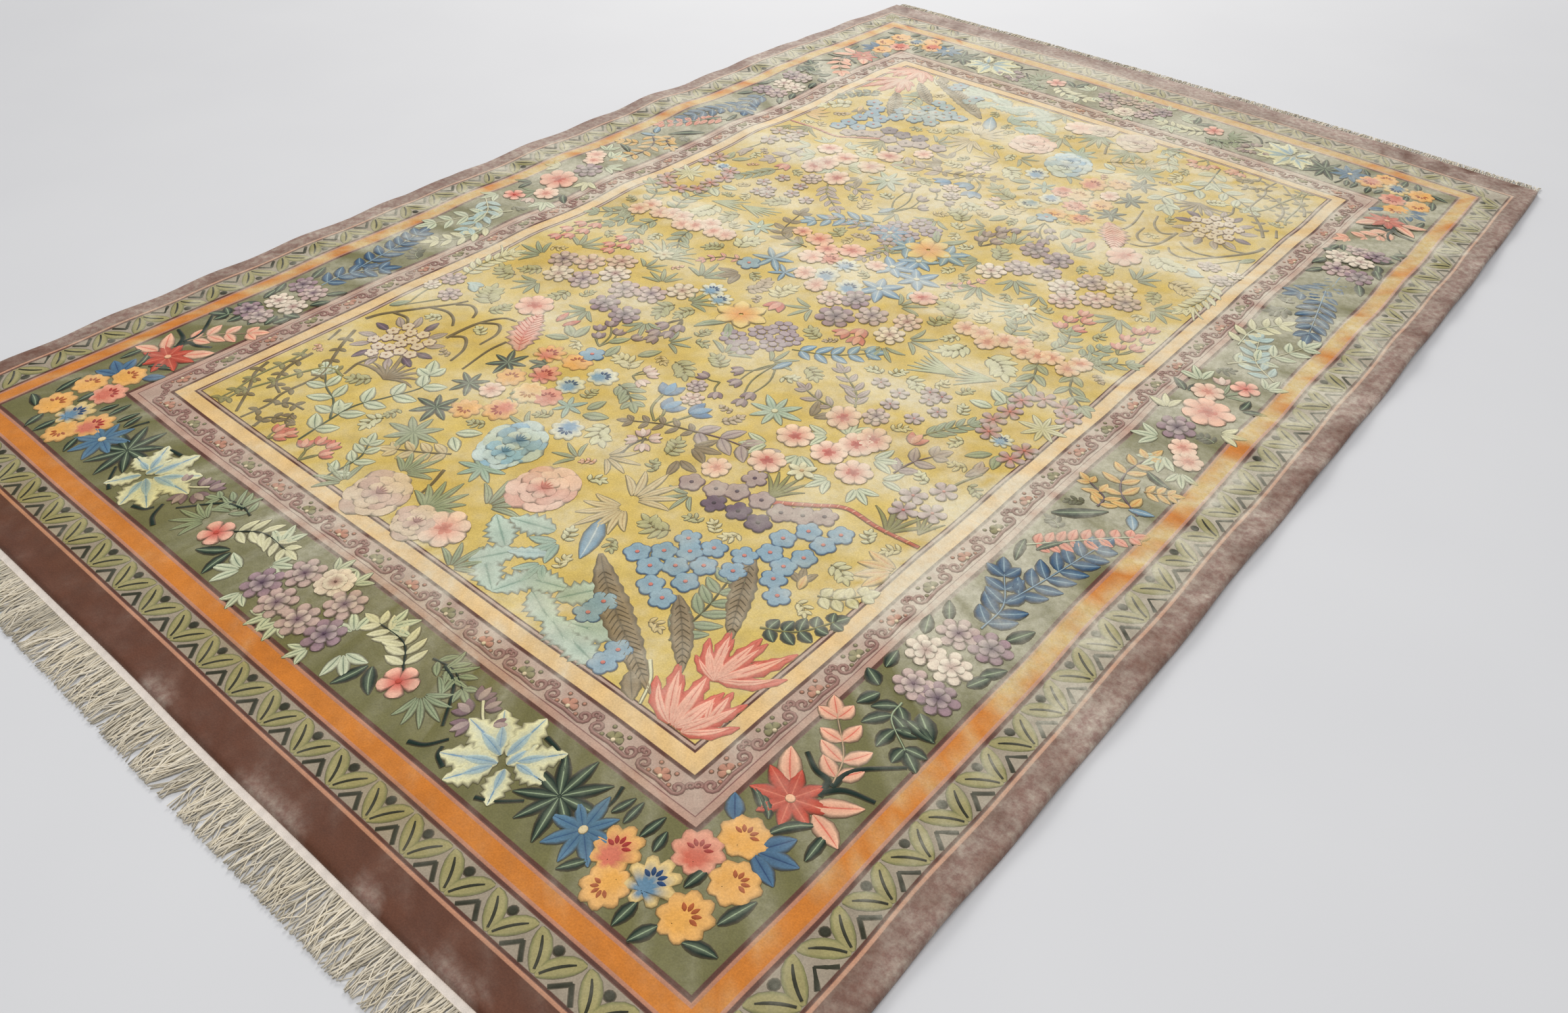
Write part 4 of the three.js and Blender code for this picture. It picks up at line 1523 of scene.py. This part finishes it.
FIELD_LEFT = {
    "grasses": [
        (BROWN_LEAF, -366, -770, 100, 78, 9, 170),
        (GREY_LEAF, -316, -165, 95, 82, 9, 150),
        (PALE, -553, -365, 95, 50, 5, 90),
    ],
    "stems": [
        (BROWN_STEM, 6.5, (-555, -675), (-545, -645), (-510, -595), (-475, -545), (-462, -515)),
        (BROWN_STEM, 5, (-468, -538), (-445, -522), (-420, -530), (-407, -548)),
        (BROWN_STEM, 5, (-495, -575), (-460, -565), (-432, -572), (-413, -588)),
        (BROWN_STEM, 5, (-535, -630), (-500, -625), (-478, -640)),
        (BROWN_STEM, 6, (-391, -619), (-385, -553), (-368, -512), (-343, -503)),
        (BROWN_STEM, 5, (-384, -550), (-355, -532), (-332, -555), (-328, -595)),
        (BROWN_STEM, 5, (-390, -612), (-365, -598), (-338, -622), (-327, -660)),
        (BROWN_STEM, 4, (-300, -560), (-302, -600), (-292, -663)),
        (BROWN_STEM, 5, (-433, -738), (-440, -770), (-430, -805)),
        (BROWN_STEM, 4, (-557, -728), (-550, -745), (-543, -763)),
        (BROWN_STEM, 5, (-536, -712), (-513, -754), (-489, -787), (-457, -833), (-457, -903),
         (-445, -940), (-447, -987)),
        (OLIVE_STEM, 4, (-545, -805), (-536, -833), (-536, -903), (-524, -950), (-522, -987)),
        (BROWN_STEM, 5, (-527, -805), (-520, -857), (-494, -894), (-461, -908)),
        (OLIVE_STEM, 5, (-426, -812), (-461, -810), (-485, -843), (-499, -894), (-513, -950),
         (-508, -987)),
        (BROWN_STEM, 5, (-560, -870), (-545, -903), (-508, -936), (-466, -983)),
        (BROWN_STEM, 4, (-438, -931), (-424, -913), (-391, -908)),
        (BROWN_STEM, 4, (-410, -987), (-415, -960), (-387, -940)),
        (BROWN_STEM, 4, (-92, -857), (-78, -890), (-70, -922)),
        (OLIVE_STEM, 3, (-548, -500), (-552, -540), (-540, -590)),
        (OLIVE_STEM, 3, (-506, -545), (-520, -570), (-540, -600)),
    ],
    "sprays": [
        ("pale", 7, 30, 12, 52, OLIVE_STEM, (-545, -460), (-555, -400), (-540, -343)),
        ("white", 6, 46, 24, 50, DARK_STEM, (-326, -960), (-335, -903), (-338, -847), (-317, -796),
         (-298, -740), (-321, -707)),
        ("white", 4, 42, 21, 50, DARK_STEM, (-338, -894), (-377, -861), (-419, -847), (-457, -824)),
        ("white", 4, 34, 17, 50, DARK_STEM, (-214, -987), (-214, -927), (-233, -894)),
        ("tan", 4, 34, 16, 52, BROWN_STEM, (-116, -824), (-150, -850), (-190, -875)),
        ("grey", 4, 34, 15, 50, GREY_VEIN, (-60, -520), (-35, -525), (-4, -544)),
        ("brown", 4, 18, 8, 60, BROWN_STEM, (-395, -925), (-385, -945), (-360, -955)),
        ("grey", 4, 34, 14, 45, GREY_VEIN, (-499, -18), (-520, 30), (-560, 58)),
        ("grey", 5, 36, 15, 45, GREY_VEIN, (-432, -10), (-455, 50), (-450, 116)),
        ("grey", 3, 32, 14, 45, GREY_VEIN, (-517, -58), (-530, -85), (-555, -107)),
        ("grey", 4, 34, 14, 45, GREY_VEIN, (-432, -54), (-440, -90), (-428, -130)),
        ("grey", 4, 34, 14, 45, GREY_VEIN, (-352, -45), (-345, -80), (-320, -116)),
        ("sage", 3, 32, 13, 45, GREY_VEIN, (-482, -70), (-495, -120)),
    ],
    "fans": [
        ("sage", (-36, -935, 95, 58, 6), (-130, -905, 90, 50, 5), (-175, -665, 30, 34, 3),
         (-205, -165, 100, 48, 4), (-155, -250, 60, 46, 4), (-495, -308, 180, 46, 4),
         (-276, -388, 260, 42, 4)),
        ("grey", (-180, -975, 170, 46, 4), (-80, -700, 200, 40, 3), (-464, -241, 90, 48, 4),
         (-245, -232, 130, 42, 4), (-312, -214, 80, 36, 3), (-423.5, -380, 250, 42, 4),
         (-169, -348, 300, 42, 4), (-90, -370, 40, 36, 3), (-500, -60, 230, 40, 4)),
        ("green", (-190, -560, 200, 34, 3)),
    ],
    "leaves": [
        ("rose", (-262, -565, 122, 135, 62, -24, 8)),
        ("grey", (-225, -470, 100, 46, 20), (-230, -470, 150, 44, 20), (-230, -478, 210, 44, 20),
         (-140, -475, 100, 42, 20), (-100, -435, 60, 44, 20), (-170, -440, 60, 40, 18),
         (-40, -620, 30, 44, 22), (-45, -605, 80, 36, 18)),
        ("red", (-290, -455, 100, 36, 16), (-270, -458, 70, 36, 16)),
        ("pale_blue", (-480, -485, 150, 40, 20), (-485, -460, 200, 36, 18)),
        ("white", (-155, -785, 40, 42, 22), (-150, -795, 330, 40, 20)),
        ("sage", (-560, -620, 60, 40, 16)),
    ],
    "stars": [
        ("green", (-249, -600, 36, 7, 20), (-251, -682, 36, 7, 0), (-235, -761, 41, 7, 30)),
        ("grey", (-204.5, -829, 50, 8, 10)),
        ("aqua", (-74, -620, 30, 6, 0), (-53, -815, 44, 8, 20)),
    ],
    "buds": [
        ("mauve_bell", 12, OLIVE_STEM, (-172, -460), (-214, -418), (-209, -395), (-197, -437),
         (-180, -406), (-144, -397)),
        ("pink_bell", 13, OLIVE_STEM, (-280, -990), (-295, -940), (-272, -935), (-262, -955),
         (-308, -960)),
        ("pink_bell", 13, OLIVE_STEM, (-365, -990), (-372, -965), (-350, -960), (-355, -975)),
        ("pale_bell", 13, OLIVE_STEM, (-62, -485), (-53, -455), (-36, -490), (-40, -460)),
        ("pink_bell", 14, OLIVE_STEM, (-524, -125), (-512, -150), (-538, -165), (-510, -185),
         (-540, -200), (-514, -220), (-530, -240)),
        ("pink_bell", 14, OLIVE_STEM, (-415, -125), (-400, -145), (-430, -155), (-402, -175),
         (-428, -190), (-412, -210)),
    ],
    "alike": [
        ("pale_blossom", 23, (-400, -15), (-425, -18), (-380, -36), (-334, 0), (-310, -18),
         (-280, -14), (-495, -45), (-486, -18), (-447, -30), (-355, -24)),
    ],
    "flowers": [
        ("mauve_eight", (-548, -481, 24, 10)),
        ("pale_eight", (-559, -523, 17, 0)),
        ("mauve_eight", (-506, -523, 24, 40)),
        ("snowball", (-443, -684, 60, 0)),
        ("blossom", (-363, -444, 36, 20)),
        ("apricot", (-211.5, -626, 27, 20)),
        ("pale_apricot", (-153, -637, 31, 200)),
        ("apricot_rose", (-153, -698, 31, 160)),
        ("apricot", (-197.5, -733, 27, 190)),
        ("apricot_rose", (-214, -535, 29, 0)),
        ("apricot", (-160, -521, 28, 30)),
        ("rose", (-172, -584, 28, 0), (-118, -625, 26, 30)),
        ("pale_blossom", (-207, -672, 22, 0)),
        ("blue_cup", (-160, -487, 23, 0)),
        ("white_blue", (-95, -523, 28, -20), (-116, -577, 26, 20), (-29, -663, 28, 190)),
        ("frill", (-58, -768, 47, 10)),
        ("blue_peony", (-64, -735, 56, 0)),
        ("dahlia", (-118, -959, 56, 0), (-22, -962, 42, 20)),
        ("small_star", (-322, -150, 22, 0)),
        ("rose_eight", (-356.5, -228, 31, 0), (-401, -270, 31, 20)),
        ("pale_eight", (-330, -270, 31, 10)),
        ("mauve_eight", (-448, -295, 31, 30)),
        ("pale_eight", (-193.5, -228, 31, 0)),
        ("mauve_eight", (-227, -277, 31, 10), (-276, -297, 31, 25)),
        ("pale_eight", (-417, -337, 30, 5)),
        ("mauve_eight", (-363, -322, 31, 15)),
        ("plum_eight", (-269, -353, 30, 0), (-213.5, -357, 30, 20)),
    ],
}
VINES = slice(10, 17)  # the stems that are vines with leaves
FIELD_RIGHT = {
    "grasses": [
        (OLIVE_STEM, 330, -580, 95, 70, 6, 80),
        (OLIVE_STEM, 509, -530, 95, 85, 5, 90),
        (GREY_LEAF, 410, -85, 205, 85, 6, 50),
        (GREY_LEAF, 350, -115, 185, 85, 6, 50),
        (OLIVE_STEM, 545, -500, 100, 60, 4, 60),
    ],
    "stems": [
        (OLIVE_STEM, 4, (516, -400), (522, -360), (537, -320)),
        (OLIVE_STEM, 3, (495, -470), (505, -500), (509, -528)),
        (OLIVE_STEM, 4, (16, -490), (30, -530), (60, -555)),
        (OLIVE_STEM, 4, (51, -520), (60, -535), (62, -555)),
        (OLIVE_STEM, 4, (96, -500), (90, -520), (80, -548)),
        (shade(74, 62, 44), 4, (84, -652), (78, -625), (84, -595)),
        (shade(196, 84, 60), 4, (560, -808), (548, -825), (527, -847)),
        (PALE, 5, (425, -930), (452, -955), (470, -990)),
    ],
    "sprays": [
        ("mauve", 4, 46, 22, 48, shade(130, 100, 104), (120, -535), (185, -515), (250, -508)),
        ("mauve", 3, 36, 18, 48, shade(130, 100, 104), (430, -404), (437, -365), (455, -330)),
        ("sage", 6, 46, 17, 50, shade(88, 86, 48), (420, -889), (418, -820), (402, -752)),
        ("green", 5, 26, 19, 60, OLIVE_STEM, (495, -791), (535, -765), (562, -717)),
        ("pale", 4, 26, 18, 60, OLIVE_STEM, (513, -693), (540, -680), (562, -651)),
        ("blue", 5, 40, 18, 46, OLIVE_STEM, (89, -246), (147, -214.5), (196, -161)),
        ("sage", 5, 34, 10, 30, OLIVE_STEM, (410, -300), (425, -265), (446, -220)),
        ("brown", 5, 26, 10, 55, BROWN_STEM, (140, -530), (84, -549), (30, -580)),
        ("mauve", 5, 34, 12, 40, OLIVE_STEM, (281, -313), (255, -277), (200, -240)),
        ("mauve", 3, 30, 11, 40, OLIVE_STEM, (255, -335), (222, -335), (188, -326)),
    ],
    "fans": [
        ("white", (318, -378, 110, 44, 3), (292, -396, 220, 42, 3), (385, -400, 30, 44, 3),
         (236, -478, 220, 42, 3), (290, -466, 300, 46, 3), (366, -482, 250, 40, 3),
         (408, -472, 330, 40, 3), (425, -432, 30, 40, 2)),
        ("brown", (240, -380, 80, 46, 2), (152, -566, 20, 46, 3), (158, -600, 320, 40, 2),
         (480, -690, 120, 32, 3)),
        ("tan", (70, -668, 20, 44, 4), (175, -715, 80, 62, 5), (180, -735, 250, 62, 6)),
        ("grey", (40, -700, 180, 36, 3), (28, -870, 80, 56, 4), (10, -335, 90, 44, 3),
         (90, -304, 70, 40, 3), (230, -650, 250, 36, 3)),
        ("aqua", (165, -850, 250, 48, 3), (180, -895, 280, 44, 3)),
        ("sage", (93, -990, 90, 46, 4)),
    ],
    "leaves": [
        ("brown", (229, -829, 330, 280, 44, 14, 13), (392, -689, 302, 175, 36, 8, 9),
         (369, -819, 316, 145, 33, -10, 8), (420, -960, 320, 50, 26, 0, 4)),
        ("blue", (173, -778, 298, 88, 32, -10), (118, -280, 250, 40, 17)),
        ("flame", (515, -902, 140, 65, 32, 0, 4), (512, -900, 116, 92, 39, -14, 4),
         (516, -898, 66, 115, 41, 20, 5), (514, -902, 92, 98, 39, 0, 4),
         (520, -988, 126, 103, 44, -16, 5), (556, -960, 100, 62, 32, 0, 4),
         (540, -988, 70, 92, 39, 12, 5), (525, -988, 104, 103, 44, 0, 5),
         (530, -988, 86, 75, 39, 0, 4)),
        ("yellow", (562.6, -585, 200, 52, 18, 20), (562.6, -590, 226, 52, 18, 10),
         (562.6, -580, 172, 50, 18, -10), (562.6, -595, 252, 46, 18), (485.5, -700, 110, 30, 14)),
        ("white", (456, -132, 150, 44, 24), (446, -156, 190, 40, 22)),
        ("sage", (518, -265, 230, 44, 18), (528, -262, 290, 40, 18), (-55, -255, 235, 60, 18, 40),
         (-50, -255, 300, 60, 18, -40)),
        ("mauve", (520, -340, 70, 44, 18), (532, -330, 110, 40, 18)),
        ("pale_blue", (173, -878, 215, 60, 28, 0, 5)),
    ],
    "buds": [
        ("mauve_bell", 13, OLIVE_STEM, (100, -300), (61, -355), (82, -383), (126, -397),
         (128, -420)),
        ("mauve_bell", 12, OLIVE_STEM, (60, -400), (28, -404), (82, -432)),
        ("mauve_bell", 14, BROWN_STEM, (-122, -300), (-108, -325), (-136, -335), (-108, -350),
         (-132, -362), (-120, -380)),
        ("pale_bell", 12, BROWN_STEM, (84, -600), (70, -612), (96, -615), (72, -590), (95, -588)),
    ],
    "alike": [
        ("coral_lily", 31, (282, -346), (357, -360), (343, -386), (254, -434), (322, -432),
         (383, -446), (266, -514)),
        ("mauve_cup", 21, (282.5, -560), (418, -558), (392, -577), (364, -593), (324.5, -591),
         (282.5, -600), (252, -616), (211, -628)),
        ("plum_cup", 21, (273, -642), (314, -632), (353, -632)),
        ("blue_cup", 20.5, (301, -726), (343, -717), (322, -745), (357, -754), (293, -768),
         (327, -780), (266, -794), (300, -803), (359.5, -794), (327, -829), (357, -838),
         (303.5, -894), (303.5, -922), (381, -945), (383, -973), (462, -574), (420, -598),
         (455, -607), (401.5, -634), (450.5, -647), (407, -670), (440, -680), (446, -709),
         (472.5, -731), (385, -700), (394.5, -735)),
        ("mauve_four", 17, (345, -190), (368, -188), (357, -210), (388.6, -230), (310, -228),
         (268, -223), (319, -266), (373, -272.5)),
        ("wreath", 23, (500, -80), (538, -78), (560.5, -103), (473, -107), (475.7, -147.5),
         (467, -185), (480, -217), (551.6, -223), (547, -257)),
        ("berry", 26, (31, -199), (62.5, -222), (12, -237), (53.6, -257), (22, -297),
         (-12.5, -284)),
    ],
    "flowers": [
        ("rays", (543, -152, 42, 10)),
        ("line_star", (-55, -215, 50, 10)),
        ("aqua_star", (187, -404, 45, 10)),
        ("mauve_four", (516, -392, 23, 0), (485.5, -430, 23, 40), (532, -446, 23, 20),
         (495, -468, 23, 10)),
        ("blue_bell", (16, -474, 22, 110), (51, -507, 22, 80), (96, -488, 22, 60)),
        ("mauve_eight", (41, -434, 19, 0)),
        ("rose_eight", (63, -467, 20, 0)),
        ("small_star", (322, -497, 24, 0)),
        ("pale_blossom", (217, -579, 24, 0)),
        ("pink_peony", (56, -787, 58, 0)),
        ("pale_blossom", (20, -942, 40, 0)),
        ("mauve_eight", (324, -310, 24, 0)),
        ("pink_bell", (409, -317, 17, 90)),
        ("white_blue", (509, -223, 20, 0)),
    ],
}
RED_BARK = [(340, -583), (387.5, -549), (429.5, -521), (490, -525), (562, -523)]
FEATHERY_LEAVES = [  # place, heading
    (107, -850, 200), (84, -890, 150), (117, -930, 60), (140, -960, 330), (215, -920, 20),
    (250, -955, 340), (330, -940, 200), (300, -970, 160), (350, -925, 20), (185, -945, 250),
    (270, -900, 60), (345, -975, 350),
]
MIDDLE_GROUP = {
    "sprays": [
        ("brown", 6, 36, 16, 48, BROWN_STEM, (-130, 58), (-190, 62), (-218, 94), (-236, 170)),
        ("mauve", 6, 26, 9, 50, OLIVE_STEM, (-75, 230), (-120, 205), (-170, 200)),
        ("mauve", 6, 24, 8, 50, OLIVE_STEM, (-30, 200), (-10, 150), (-20, 100)),
        ("rose", 4, 20, 8, 50, BROWN_STEM, (-190, -60), (-229, -80), (-250, -110)),
        ("rose", 4, 20, 8, 50, BROWN_STEM, (150, 120), (183, 143), (200, 180)),
    ],
    "fans": [
        ("brown", (-160, -100, 240, 48, 3)),
        ("grey", (222, -80, 20, 42, 3), (200, -125, 300, 42, 3), (145, -4, 60, 42, 3),
         (25, -110, 230, 42, 3)),
        ("sage", (-140, 60, 200, 36, 3), (5, 150, 120, 34, 3)),
        ("pale_blue", (130, 60, 330, 36, 3)),
    ],
    "stars": [
        ("blue", (-150, -20, 48, 6, 20), (-100, -45, 34, 5, 0)),
    ],
    "alike": [
        ("blue_star", 48, (15.6, 201), (96, 219), (67, 165), (44.7, 111.5), (107, 103), (80, 22),
         (-48, 223)),
    ],
    "flowers": [
        ("blue_cup", (-173, -63, 23, 0)),
        ("blossom", (-180, 107, 21, 0), (-133, 103, 29, 30), (-93, 80, 25, 50), (-55, 110, 29, 10)),
        ("rose", (-64, 52, 26, 0)),
        ("blossom", (160, 50, 27, 0)),
        ("white_blue", (-21.5, 52, 28, 0), (-28, -3, 28, 30), (33.5, -9, 28, 10)),
        ("pale_blossom", (-21.5, -42, 24, 0), (-66, -22, 24, 0), (-97, 33, 27, 0), (20, 92, 22, 0)),
        ("aqua_star", (-254, 58, 36, 30)),
        ("plum_eight", (67, -36, 30, 0)),
        ("mauve_eight", (123, -60, 32, 10)),
        ("plum_eight", (73.7, -105, 37, 20)),
        ("pale_eight", (187.6, -89.5, 30, 0)),
        ("rose_eight", (187.6, -36, 28, 0), (28, -62, 26, 0)),
        ("white_blue", (-155.5, -183, 26, 0), (-120, -200, 24, 0)),
        ("pink_bell", (-30, -147, 20, 270), (140, -116, 17, 280), (118, -139, 17, 250),
         (152, -141, 17, 290)),
    ],
}

FROND_MIRROR = 0.03  # the long borders' fronds mirror a little past the middle


def main_border(carving):
    """The border's near end and right side, the parts that repeat as mirror images too."""
    for table in (NEAR_END, LONG_MIDDLE, LONG_END, LONG_FROND):
        drawn(carving, **table)
    carving.mirrored("u")
    drawn(carving, **NEAR_END)
    carving.mirrored("v")
    drawn(carving, **LONG_END)
    carving.mirrored("v", FROND_MIRROR)
    drawn(carving, **LONG_FROND)
    carving.mirrored(None)


def one_half(turn):
    """One half of the field; the lower one carries the group in the middle."""
    carving = Carving(GOLD)
    carving.turn = turn
    vine_leaves(carving, FIELD_LEFT["stems"][VINES])
    drawn(carving, **FIELD_LEFT)
    striped_bark(carving, RED_BARK)
    feathery_leaves(carving, FEATHERY_LEAVES)
    drawn(carving, **FIELD_RIGHT)
    if turn > 0:
        drawn(carving, **MIDDLE_GROUP)
    return carving


# Small sprigs of the ground, wherever the design leaves room for them

CELL = 6 * MM
SPARE_CELLS = 8  # the columns and rows that the grid has past the rug
CLOSEST = 4 * MM  # how near to its edge the ground still takes a leaf
MARGIN = 12 * MM  # how near to its edge a sprig may stand
FIELD_INSET = (0.3095, 0.3235)  # from the plain band to the field, at the sides and the ends
BORDER_MIDDLE = (61 * MM, 66 * MM)  # from the main border's outer edge to its middle line
FIELD_SPRIGS = [  # look, how often, leaf length, width
    ("grey", 6, 0.025, 0.0105),
    ("pale", 3, 0.026, 0.011),
    ("sage", 5, 0.024, 0.010),
    ("tan", 2, 0.024, 0.010),
    ("white", 4, 0.026, 0.012),
    ("rose", 1, 0.016, 0.009),
    ("mauve", 1, 0.017, 0.010),
]
BORDER_SPRIGS = [
    ("green", 9, 0.028, 0.011),
    ("sage", 2, 0.026, 0.010),
    ("white", 1, 0.024, 0.011),
    ("dark", 3, 0.024, 0.010),
]
PASSES = [  # clear cells round the place, leaves, length share
    (5, 6, 1.5),
    (4, 5, 1.25),
    (3, 4, 1.0),
    (2, 3, 0.72),
]
SKIPPED = 0.55  # the share of the smallest gaps left free
BLEND = 0.3  # how far a sprig's yarn goes towards the ground


def past_frame(u, v, side, end):
    """How far a place is past a frame that lies side and end in from the plain band."""
    across = np.abs(u) - PATTERN_HALF_WIDTH + side
    return np.maximum(across, np.abs(v) - PATTERN_HALF_LENGTH + end)


def past_field(u, v):
    return past_frame(u, v, *FIELD_INSET)


def past_border(u, v):
    side, end = band_start("main border")
    half_side, half_end = BORDER_MIDDLE
    return np.abs(past_frame(u, v, side + half_side, end + half_end)) - half_side


def filled(name, ground, drawn_before, past, looks):
    """Sprigs in the free cells of a grid over the rug; past is how far past the edge."""
    columns = round(2 * PATTERN_HALF_WIDTH / CELL) + SPARE_CELLS
    rows = round(2 * PATTERN_HALF_LENGTH / CELL) + SPARE_CELLS
    v, u = np.mgrid[0:rows, 0:columns] * CELL
    u = u - columns * CELL / 2
    v = v - rows * CELL / 2
    taken = past(u, v) > -CLOSEST
    margin = past(u, v) > -MARGIN
    carving = Carving(ground)

    def mark(points):
        column = ((points[:, 0] + columns * CELL / 2) / CELL).round().astype(int)
        row = ((points[:, 1] + rows * CELL / 2) / CELL).round().astype(int)
        taken[row.clip(0, rows - 1), column.clip(0, columns - 1)] = True

    for other in drawn_before:
        for points in other.points:
            mark(points)
    odds = np.array([row[1] for row in looks], float)
    odds = odds / odds.sum()
    for clear, leaves, share in PASSES:
        for cell in rng.permutation(rows * columns):
            row, column = divmod(int(cell), columns)
            if margin[row, column]:
                continue
            window = taken[row - clear : row + clear + 1, column - clear : column + clear + 1]
            if window.any():
                continue
            if clear < 3 and rng.uniform() < SKIPPED:
                margin[row, column] = True
                continue
            look, _, length, width = looks[rng.choice(len(looks), p=odds)]
            start = len(carving.points)
            place = np.array([u[row, column], v[row, column]])
            small_sprig(carving, place, look, leaves, length * share, width * share, clear)
            for points in carving.points[start:]:
                mark(points)
    return carving.mesh(name, 0.7, 0.1)


def small_sprig(carving, place, look, leaves, length, width, clear):
    """A bent spray across the middle of a gap, in a yarn near to the ground's."""
    heading = rng.uniform(0, 360)
    body, vein = LEAVES[look]
    body = mixed(body, carving.ground, BLEND)
    bend = rng.uniform(40, 110) * rng.choice([-1, 1])
    reach = clear * CELL * 0.9
    route = arc(place - direction(heading) * reach, heading, 2 * reach, bend, [0, 0.5, 1])
    spray(carving, route, leaves, length * 0.82, width * 0.8, mixed(vein, carving.ground, 0.35),
          body, spread=54, stem_width=1.4 * MM, bend=20)


pile = yarn_material("cut_pile", 420.0, 30.0, 0.15, 0.17, 0.66, 0.06)
cotton = yarn_material("cotton_yarn", 900.0, 60.0, 0.12, 0.06, 0.8, 0.2)

base = base_rug()
lower = one_half(1)
upper = one_half(-1)
border = both_halves(OLIVE, main_border)
carvings = [
    both_halves(TAUPE, leaf_band).mesh("leaf_band", 0.95),
    both_halves(MAUVE, scroll_band).mesh("scroll_band"),
    border.mesh("main_border"),
    filled("border_sprigs", OLIVE, [border], past_border, BORDER_SPRIGS),
    lower.mesh("field_lower", 0.75, 0.15),
    upper.mesh("field_upper", 0.75, 0.15),
    filled("field_sprigs", GOLD, [lower, upper], past_field, FIELD_SPRIGS),
]
strips = [end_strip("web_near", -1), end_strip("web_far", 1)]
fringes = [
    threads("threads_near", -1, 62 * MM, 71, 3),
    threads("threads_far", 1, 30 * MM, 81, 2),
]
for piece in [base] + carvings:
    piece.data.materials.append(pile)
    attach(piece, "root")
for piece in strips + fringes:
    piece.data.materials.append(cotton)
    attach(piece, "root")
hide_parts("pile_rug")
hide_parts("fringe_near")
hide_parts("fringe_far")
floor()
studio()
